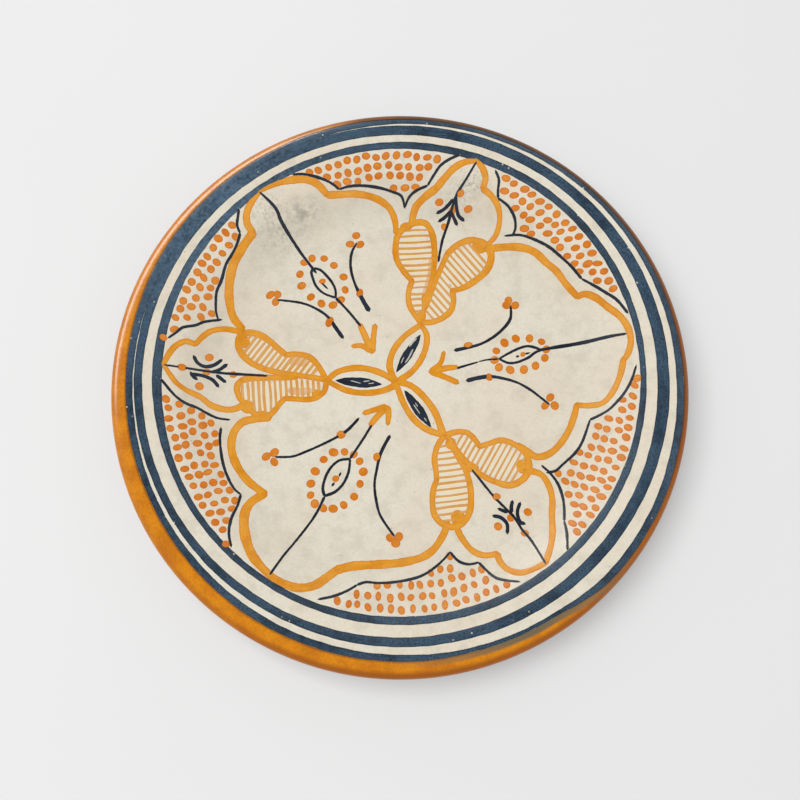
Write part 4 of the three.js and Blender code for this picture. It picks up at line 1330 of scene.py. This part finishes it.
# %% Spines and stems
SPINES = {
    "spine_outer_nw": [
        ((1.0, 1.9, 1.5, 1.2), [(-68, 93.6), (-60.6, 87.3), (-58.2, 82.2), (-50, 69.9), (-41.2, 58)]),
    ],
    "spine_outer_e": [
        ((1.2, 1.8, 1.9, 1.5), [(107, 23.4), (100, 23.3), (90, 22.2), (80, 21), (67.4, 18.8)]),
    ],
    "spine_outer_sw": [
        ((1.2, 1.1, 1.1, 1.4), [(-58.8, -89), (-53.8, -80.4), (-48.7, -73.4), (-39.5, -60.7),
                                (-35.4, -52.2)]),
    ],
    "spine_inner_nw": [
        ((1.4, 1.2, 1.2, 1.5), [(-31.4, 45.2), (-25, 38.2), (-19.2, 31)]),
    ],
    "spine_inner_e": [
        ((0.8, 1.0, 1.4), [(37.6, 12.9), (32, 11.2), (27.4, 9.8)]),
        ((1.1, 0.9, 0.6), [(47.6, 14.4), (42, 14), (37.8, 13)]),
    ],
    "spine_inner_sw": [
        ((1.3, 1.2, 1.3), [(-23.6, -34.2), (-20.5, -29.4), (-17, -24), (-13.6, -18.2)]),
    ],
}
STEMS = {
    "stem_nw_a": {
        "widths": (2.4, 2.2, 1.3, 1.4, 1.4, 0.9),
        "line": [(-15, 38.5), (-19.3, 46.2), (-23, 55), (-24.4, 62.6), (-23.7, 68.9), (-21.4, 73.7)],
        "bead": ((-19.7, 47.7), (3.0, 4.2)),
        "berries": [(-21.7, 77.5), (-24.7, 73), (-19.8, 72.8)],
    },
    "stem_nw_b": {
        "widths": (2.0, 1.8, 1.3, 1.2, 1.2, 1.0),
        "line": [(-27.6, 24.8), (-31, 29.7), (-35.4, 35.8), (-41.1, 39.8), (-48.1, 42.6), (-60, 44.2)],
        "bead": ((-34.3, 33), (3.4, 5.0)),
        "berries": [(-63.5, 46.7), (-60, 47), (-60.8, 43.2)],
    },
    "stem_e_a": {
        "widths": (2.0, 1.5, 1.3, 1.5, 1.5, 1.2),
        "line": [(26.5, 18.7), (33.1, 20.2), (38.4, 21.6), (43.8, 24.4), (49.8, 29.2), (53.8, 34.8),
                 (54, 41)],
        "bead": ((33, 21.3), (3.8, 3.0)),
        "berries": [(53, 43.8), (56.2, 41.4), (52, 41.4)],
    },
    "stem_e_b": {
        "widths": (2.2, 2.0, 1.4, 1.2, 1.3, 1.0),
        "line": [(32, 3.6), (38, 5.1), (43.6, 5.7), (49.9, 4.7), (56.1, 2.8), (62.2, -0.6), (71.4, -8)],
        "bead": ((42.9, 5.4), (3.2, 3.4)),
        "berries": [(72, -4.6), (69.5, -8.5), (74, -8.6)],
    },
    "stem_sw_a": {
        "widths": (1.4, 1.5, 1.2, 1.2, 1.2, 1.0),
        "line": [(-19.7, -14.8), (-24.3, -19.9), (-28, -22.7), (-35, -26.5), (-44.9, -31), (-51, -33.2),
                 (-59, -33.4)],
        "bead": ((-28, -22.7), (3.8, 3.8)),
        "berries": [(-59.5, -31.3), (-63.3, -33.2), (-59.5, -35.8)],
    },
    "stem_sw_b": {
        "widths": (1.8, 1.5, 1.2, 1.3, 1.2, 1.1),
        "line": [(-4.8, -23.2), (-9, -31.3), (-11, -39.5), (-12, -46.2), (-11.3, -53.2), (-9.4, -60.7),
                 (-2.6, -70.8)],
        "bead": ((-10.8, -33.4), (3.8, 3.6)),
        "berries": [(-4.5, -71.5), (-0.5, -71), (-2, -74)],
    },
}
CLEAN_BEADS = {"stem_sw_a", "stem_sw_b", "stem_e_a"}
STAINED = 0.55
BEAD_GROWTH = 1.12


def make_spine(name, seed):
    """A spine of one or two pulls."""
    work = Brushwork(name + "_brushwork", [cobalt_line], seed)
    for width, points in SPINES[name]:
        work.stroke(points, width, "line", pool=0.0)
    work.finish("cobalt_paint", name)


def make_stem(name, seed):
    """A curved stem with a bead near its foot, often stained by the blue, and three berries at its tip."""
    parts = STEMS[name]
    work = Brushwork(name + "_brushwork", [cobalt_line, orange_dab], seed)
    work.stroke(parts["line"], parts["widths"], "line", pool=0.0)
    spot, size = parts["bead"]
    stained = 0.0 if name in CLEAN_BEADS else STAINED
    turn = work.random.uniform(-0.3, 0.3)
    work.dab(spot, [side * BEAD_GROWTH for side in size], turn, "bead", DAB, stained)
    for spot in parts["berries"]:
        size = (work.random.uniform(4.1, 4.9), work.random.uniform(3.7, 4.3))
        work.dab(spot, size, work.random.uniform(0, 3), paint=DAB, pool=0.2)
    work.finish("cobalt_paint", name)


for seed, name in enumerate(SPINES):
    make_spine(name, 60 + seed)
for seed, name in enumerate(STEMS):
    make_stem(name, 70 + seed)


# %% [markdown]
# Each bud has a spine with a few whiskers, three orange beads along it and one dot on each side. The
# first bead in each list lies over the blue, and the others lie under it.

# %% Buds with their spines
BUD_SPINES = {
    "bud_spine_w": {
        "spine": ((0.9, 1.2, 1.4, 1.2), [(-110.6, 8), (-97, 7.8), (-80, 7), (-64, 6)]),
        "whiskers": [
            [(-98.3, 14), (-97, 11.5), (-94, 9.8), (-89.6, 10.8), (-86.1, 13.7)],
            [(-83.6, 11.5), (-87.2, 8.7), (-90, 7.5)],
            [(-84, 3), (-87.9, 5.9)],
            [(-87.2, 0.7), (-89.7, 3.5), (-94.2, 5.2), (-99, 5.3)],
            [(-99.4, 5.9), (-98, 4), (-96.8, 3.2)],
        ],
        "beads": [(-103.2, 8), (-92.6, 7.2), (-80.3, 6.7)],
        "dots": [(-91.6, 14.4), (-95.5, -0.1)],
    },
    "bud_spine_n": {
        "spine": ((0.9, 1.3, 1.5, 1.3, 1.2), [(37.3, 109.4), (32.9, 103), (27.6, 95.4), (23.8, 83.5),
                                              (21, 75), (18.9, 63.9)]),
        "whiskers": [
            [(18.5, 88.6), (22, 90.3), (26, 94)],
            [(19.4, 84.7), (22, 86.3), (25, 89)],
            [(28.2, 82.9), (27, 85.5), (25.5, 88.5)],
            [(31.5, 84.7), (29, 87), (28, 90.5), (27.5, 95)],
        ],
        "beads": [(29.7, 96.6), (26, 89.6), (22, 81.9)],
        "dots": [(19.4, 93.3), (33.7, 89.6)],
    },
    "bud_spine_se": {
        "spine": ((1.0, 1.2, 1.3, 1.2, 1.0), [(34, -39.5), (38, -44.6), (43.3, -51.3), (49, -57.4),
                                              (53.5, -62), (57, -68), (60.3, -72.5), (66, -84)]),
        "whiskers": [
            [(52.7, -54.5), (52.2, -57), (52.2, -59.5)],
            [(56.3, -55.3), (55, -59), (55.5, -63), (56.5, -65)],
            [(55, -64), (58, -65)],
            [(46.3, -58), (48.2, -58.8), (50, -59.5)],
            [(43.7, -61.3), (47, -62), (50, -65), (50, -69.3)],
        ],
        "beads": [(45.3, -52.3), (51.8, -62.3), (58, -69.5)],
        "dots": [(59.8, -59.5), (45.8, -66.2)],
    },
}
WHISKER = 1.7
BUD_BEAD = (3.8, 3.6)
BUD_DOT = (4.2, 3.8)


def make_bud(number, seed):
    """A bud's orange outline, and then its spine, whiskers, beads and dots."""
    outline = list(BUDS)[number]
    make_outline(outline, BUDS[outline], seed)
    name = list(BUD_SPINES)[number]
    parts = BUD_SPINES[name]
    work = Brushwork(name + "_brushwork", [cobalt_line, orange_dab], seed + 1)
    width, points = parts["spine"]
    work.stroke(points, width, "line", pool=0.0)
    for points in parts["whiskers"]:
        work.stroke(points, WHISKER, "line", pool=0.0)
    for index, spot in enumerate(parts["beads"]):
        kind = "bead" if index == 0 else "dot"
        work.dab(spot, BUD_BEAD, kind=kind, paint=DAB)
    for spot in parts["dots"]:
        work.dab(spot, BUD_DOT, paint=DAB)
    work.finish("cobalt_paint", name)


for number in range(len(BUDS)):
    make_bud(number, 80 + 2 * number)


# %% [markdown]
# ## Contours and dot fields
# Thin cobalt contours run outside the petals, and rows of orange dots fill the space between them and
# the inner band. The painter worked inwards from the band, so the rows follow it. A loop lays the rows,
# shifts every other one by half a step, and leaves out each dot whose middle lies on a contour or inside
# it, so that a few dots still touch the lines, as they do under a quick hand.

# %% Contours
CONTOURS = {
    "contour_n": [
        [(-52.2, 102.8), (-47, 103.4), (-38, 102.1), (-32.9, 100.2), (-30, 98.3)],
        [(-30, 98.3), (-24.6, 99.9), (-17.7, 100.4), (-9.5, 99.6), (-3.9, 98.2), (0.7, 96.3), (2.4, 91.2)],
        [(2.4, 91.4), (4.2, 95.4), (7.3, 98.2), (13.6, 100.6)],
        [(13.6, 100.6), (16.4, 104.5), (19.9, 108.7), (24.8, 111.4), (29, 112.8)],
    ],
    "contour_ne": [
        [(46.5, 104.8), (48.2, 101), (47.9, 96.1), (48.1, 93)],
        [(48.1, 93), (52.8, 89.3), (56, 84.2), (56.7, 79.3), (55.4, 76)],
        [(51.8, 76.3), (58.4, 76.1), (64.7, 73.7), (72.4, 69.1), (78, 63.9), (83.2, 58.4), (87.7, 52.2)],
        [(87.7, 52.2), (93, 48.4), (98.2, 44.2), (103.1, 40), (107.8, 33)],
    ],
    "contour_ese": [
        [(110.8, 7.8), (108.8, 1.4), (105.6, -4.4), (101.7, -9), (97.8, -12.4), (90.2, -16)],
        [(90.2, -16), (88.6, -20.5), (86, -27), (82.8, -31.7), (76.7, -37.2), (73.5, -40), (69.3, -40.9)],
        [(67, -37.5), (71.4, -41.8), (74.3, -46.5), (76, -53), (76.2, -59.7), (75.7, -64.3)],
        [(75.7, -64.3), (76.3, -69.7), (75.9, -78)],
    ],
    "contour_s": [
        [(54, -92.2), (44, -90.4), (39.3, -86.3), (36.3, -82.9)],
        [(36.3, -82.9), (32, -83.8), (27.3, -82.4), (23.3, -78)],
        [(23.3, -78), (20.3, -81.4), (16.3, -85), (10, -89), (0, -91.6), (-10, -92.4), (-15.8, -92),
         (-19.6, -93.3)],
        [(-19.6, -93.3), (-24.6, -96.3), (-30.3, -98.6), (-36.7, -100)],
    ],
    "contour_sw": [
        [(-76.6, -76.6), (-78.2, -70.2), (-77.8, -63.3), (-75.6, -56.9), (-74.5, -51.5)],
        [(-74.5, -51.5), (-77.2, -49.3), (-80.1, -44.9), (-83.2, -37.3), (-84.8, -29.7), (-85.4, -24),
         (-85.1, -19.6)],
        [(-81.2, -15.5), (-87.2, -14.8), (-92.1, -12.7), (-96.3, -10.6), (-100.8, -9.2), (-105.4, -6.2),
         (-111.7, 1)],
    ],
    "contour_nw": [
        [(-109.3, 21), (-106.4, 23.8), (-103.3, 26.9), (-97.7, 29), (-94.2, 31.1), (-86.5, 33.3)],
        [(-88, 33.3), (-88.9, 36.7), (-89, 40.2), (-88.6, 46.1), (-86.4, 51.8), (-84.2, 59.4), (-81, 65.1),
         (-78.8, 69.9), (-77.5, 74.3)],
        [(-77.5, 74.3), (-78.8, 77.8), (-78.4, 81), (-77.8, 85)],
    ],
}
CONTOUR_WIDTH = (1.0, 1.25, 1.4, 1.2, 1.3)


# %% Dot fields
ROW_PITCH = 4.4
DOT_PITCH = 5.0
FIRST_ROW = 2.6
DOT_CLEAR = 1.1
DOT_GROWTH = 0.97
BAND_HALF = 1.6
ROWS = 7
SCATTER = 0.6
STRAY_DOT = (3.6, 3.6)
FIELDS = {
    "contour_n": {"dot": (4.3, 3.4), "tilt": 5, "span": (75.5, 116.5)},
    "contour_ne": {"dot": (4.5, 3.3), "tilt": -10, "span": (16.5, 67.5)},
    "contour_ese": {"dot": (4.4, 3.2), "tilt": -42, "span": (-45.5, 2.5)},
    "contour_s": {"dot": (3.3, 4.2), "tilt": 8, "span": (-110.5, -58.5), "first": 3.7, "pitch": 5.3},
    "contour_sw": {"dot": (3.9, 3.8), "tilt": 20, "span": (-179.0, -135.5)},
    "contour_nw": {"dot": (4.0, 3.8), "tilt": 30, "span": (132.5, 168.5)},
}
STRAYS = {
    "contour_nw": [(-111.5, 21)],
    "contour_ese": [(111, 1.5)],
    "contour_sw": [(-79, -75.5)],
}


def distance_to_line(spot, line):
    """Shortest way from a spot to a line through points."""
    best = 1e9
    for a, b in zip(line, line[1:]):
        start, along = Vector(a), Vector(b) - Vector(a)
        share = min(1.0, max(0.0, (spot - start).dot(along) / along.length_squared))
        best = min(best, (spot - start - along * share).length)
    return best


def outside_contour(spot, pulls):
    """True if a spot lies beyond the contour, seen from the plate's middle, and clear of it."""
    if any(distance_to_line(spot, pull) < DOT_CLEAR for pull in pulls):
        return False
    line = [Vector(point) for pull in pulls for point in pull]
    angle = math.atan2(spot.y, spot.x)
    turns = [((math.atan2(p.y, p.x) - angle + math.pi) % math.tau - math.pi, p.length) for p in line]
    turns.sort()
    limit = float(np.interp(0.0, [turn for turn, _ in turns], [reach for _, reach in turns]))
    return spot.length > limit


def lay_dots(work, name):
    """Lays one field's rows of dots, and tells how many there are."""
    field = FIELDS[name]
    middle = Vector(BANDS["band_inner"]["middle"])
    inner_edge = BANDS["band_inner"]["radius"] - BAND_HALF
    low, high = (math.radians(side) for side in field["span"])
    laid = 0
    for row in range(ROWS):
        radius = inner_edge - field.get("first", FIRST_ROW) - field.get("pitch", ROW_PITCH) * row
        count = round((high - low) * radius / DOT_PITCH)
        for i in range(count + 1):
            angle = low + (high - low) * (i + 0.5 * (row % 2)) / count
            spot = middle + Vector((math.cos(angle), math.sin(angle))) * radius
            spot += Vector([work.random.uniform(-SCATTER, SCATTER) for _ in range(2)])
            turned = math.atan2(spot.y, spot.x)
            if not low <= turned <= high or not outside_contour(spot, CONTOURS[name]):
                continue
            size = [side * DOT_GROWTH * work.random.uniform(0.88, 1.12) for side in field["dot"]]
            turn = math.radians(field["tilt"] + work.random.uniform(-12, 12))
            work.dab(tuple(spot), size, turn, paint=DAB, pool=work.random.uniform(0, 0.3))
            laid += 1
    for spot in STRAYS.get(name, []):
        work.dab(spot, STRAY_DOT, kind="bead", paint=DAB)
    return laid


def make_contour(name, seed):
    """A contour of a few pulls, and the field of dots behind it."""
    work = Brushwork(name + "_brushwork", [cobalt_line, orange_dab], seed)
    for points in CONTOURS[name]:
        work.stroke(points, CONTOUR_WIDTH, "line", pool=0.0)
    laid = lay_dots(work, name)
    print(name, "has", laid, "dots")
    work.finish("cobalt_paint", name)


for seed, name in enumerate(CONTOURS):
    make_contour(name, 90 + seed)


# %% [markdown]
# ## Floor, light and camera
# The plate is seen almost from above on a pale floor. The floor glows a little, which keeps the plate's
# shadow faint.

# %% Floor
FLOOR_HALF = 3.0
FLOOR_GLOW = 0.328


def make_floor():
    """The floor. A little of its brightness is its own, which keeps the plate's shadow faint."""
    bm = bmesh.new()
    bmesh.ops.create_grid(bm, x_segments=8, y_segments=8, size=FLOOR_HALF)
    material, tree = new_material("pale_floor")
    place = node(tree, "TexCoord").outputs["Object"]
    soft = stretch(tree, noise(tree, place, 300.0, 2.0), 0.3, 0.7)
    shader = surface(tree, mix(tree, soft, FLOOR, FLOOR_SHADE), 0.95)
    shader.inputs["Specular IOR Level"].default_value = 0.0
    shader.inputs["Emission Color"].default_value = (1.0, 1.0, 1.0, 1.0)
    shader.inputs["Emission Strength"].default_value = FLOOR_GLOW
    floor = finished("pale_floor", bm, [material])
    return floor


FLOOR = tint(119, 119, 119)
FLOOR_SHADE = tint(118, 118, 118)
floor_only = bpy.data.collections.new("floor_only")
floor_only.objects.link(make_floor())


# %% [markdown]
# The sky is a shader too. It is a little brighter toward the upper left, and it has a dark soft hole
# just behind the top, which stands for a dark ceiling: the flat well mirrors that part of the sky, so the
# colours there stay deep. A low window on the left gives the rim its sheen and is seen only in
# reflections. A second panel lights nothing but the floor, which lets the plate's shadow fall to the
# right as it does under a real lamp, and leaves the face evenly lit.

# %% Light
SKY = 1.065
FLOOR_PANEL = 86
HOLE = (0.0, 0.225, 0.974)
HOLE_DEGREES = (36, 16)
HOLE_LIGHT = 0.42
BRIGHT_SIDE = (-0.64, 0.64, 0.42)


def make_panel(name, place, aim, size, power):
    """A rectangular soft light that faces a point."""
    light = bpy.data.lights.new(name, "AREA")
    light.shape = "RECTANGLE"
    light.size, light.size_y = size
    light.energy = power
    lamp = bpy.data.objects.new(name, light)
    lamp.location = place
    lamp.rotation_euler = (Vector(aim) - Vector(place)).to_track_quat("-Z", "Y").to_euler()
    bpy.context.scene.collection.objects.link(lamp)
    return lamp


def make_sky():
    """An even sky with a dark soft hole and a brighter side."""
    world = bpy.data.worlds.new("studio")
    world.use_nodes = True
    tree = world.node_tree
    way = node(tree, "TexCoord").outputs["Generated"]
    facing = []
    for direction in (HOLE, BRIGHT_SIDE):
        dot = node(tree, "VectorMath", {"operation": "DOT_PRODUCT"})
        plug(tree, dot.inputs[0], way)
        dot.inputs[1].default_value = direction
        facing.append(dot.outputs["Value"])
    edge, core = (math.cos(math.radians(degrees)) for degrees in HOLE_DEGREES)
    hole = stretch(tree, facing[0], edge, core, 1.0, HOLE_LIGHT)
    side = stretch(tree, facing[1], -0.6, 1.0, 0.97, 1.08)
    light = calc(tree, "MULTIPLY", calc(tree, "MULTIPLY", hole, side), SKY)
    plug(tree, tree.nodes["Background"].inputs[1], light)
    tree.nodes["Background"].inputs[0].default_value = (1.0, 1.0, 1.0, 1.0)
    bpy.context.scene.world = world


make_sky()
window = make_panel("window", (-1.6, 1.44, 0.46), (0, 0, 0.02), (2.9, 0.5), 150)
window.visible_diffuse = False
lamp_over_floor = make_panel("floor_panel", (-0.67, 0.14, 1.88), (0, 0, 0), (1.2, 1.2), FLOOR_PANEL)
lamp_over_floor.light_linking.receiver_collection = floor_only
bpy.context.scene.view_settings.view_transform = "Standard"
print("lights:", len(bpy.data.lights))

# %% Camera
TILT = math.radians(12.96)
DISTANCE = 526.5
AIM = Vector((0, 0, 22))
FOCAL = 50.4
SHIFT = -0.0216


def make_camera():
    """A camera that looks down at the plate from just in front of it."""
    camera = bpy.data.cameras.new("camera")
    camera.lens = FOCAL
    camera.sensor_width = 36
    camera.shift_y = SHIFT
    camera.clip_start = 0.01
    eye = bpy.data.objects.new("camera", camera)
    eye.location = (AIM + Vector((0, -math.sin(TILT), math.cos(TILT))) * DISTANCE) * MM
    eye.rotation_euler = (TILT, 0, 0)
    bpy.context.scene.collection.objects.link(eye)
    bpy.context.scene.camera = eye


make_camera()
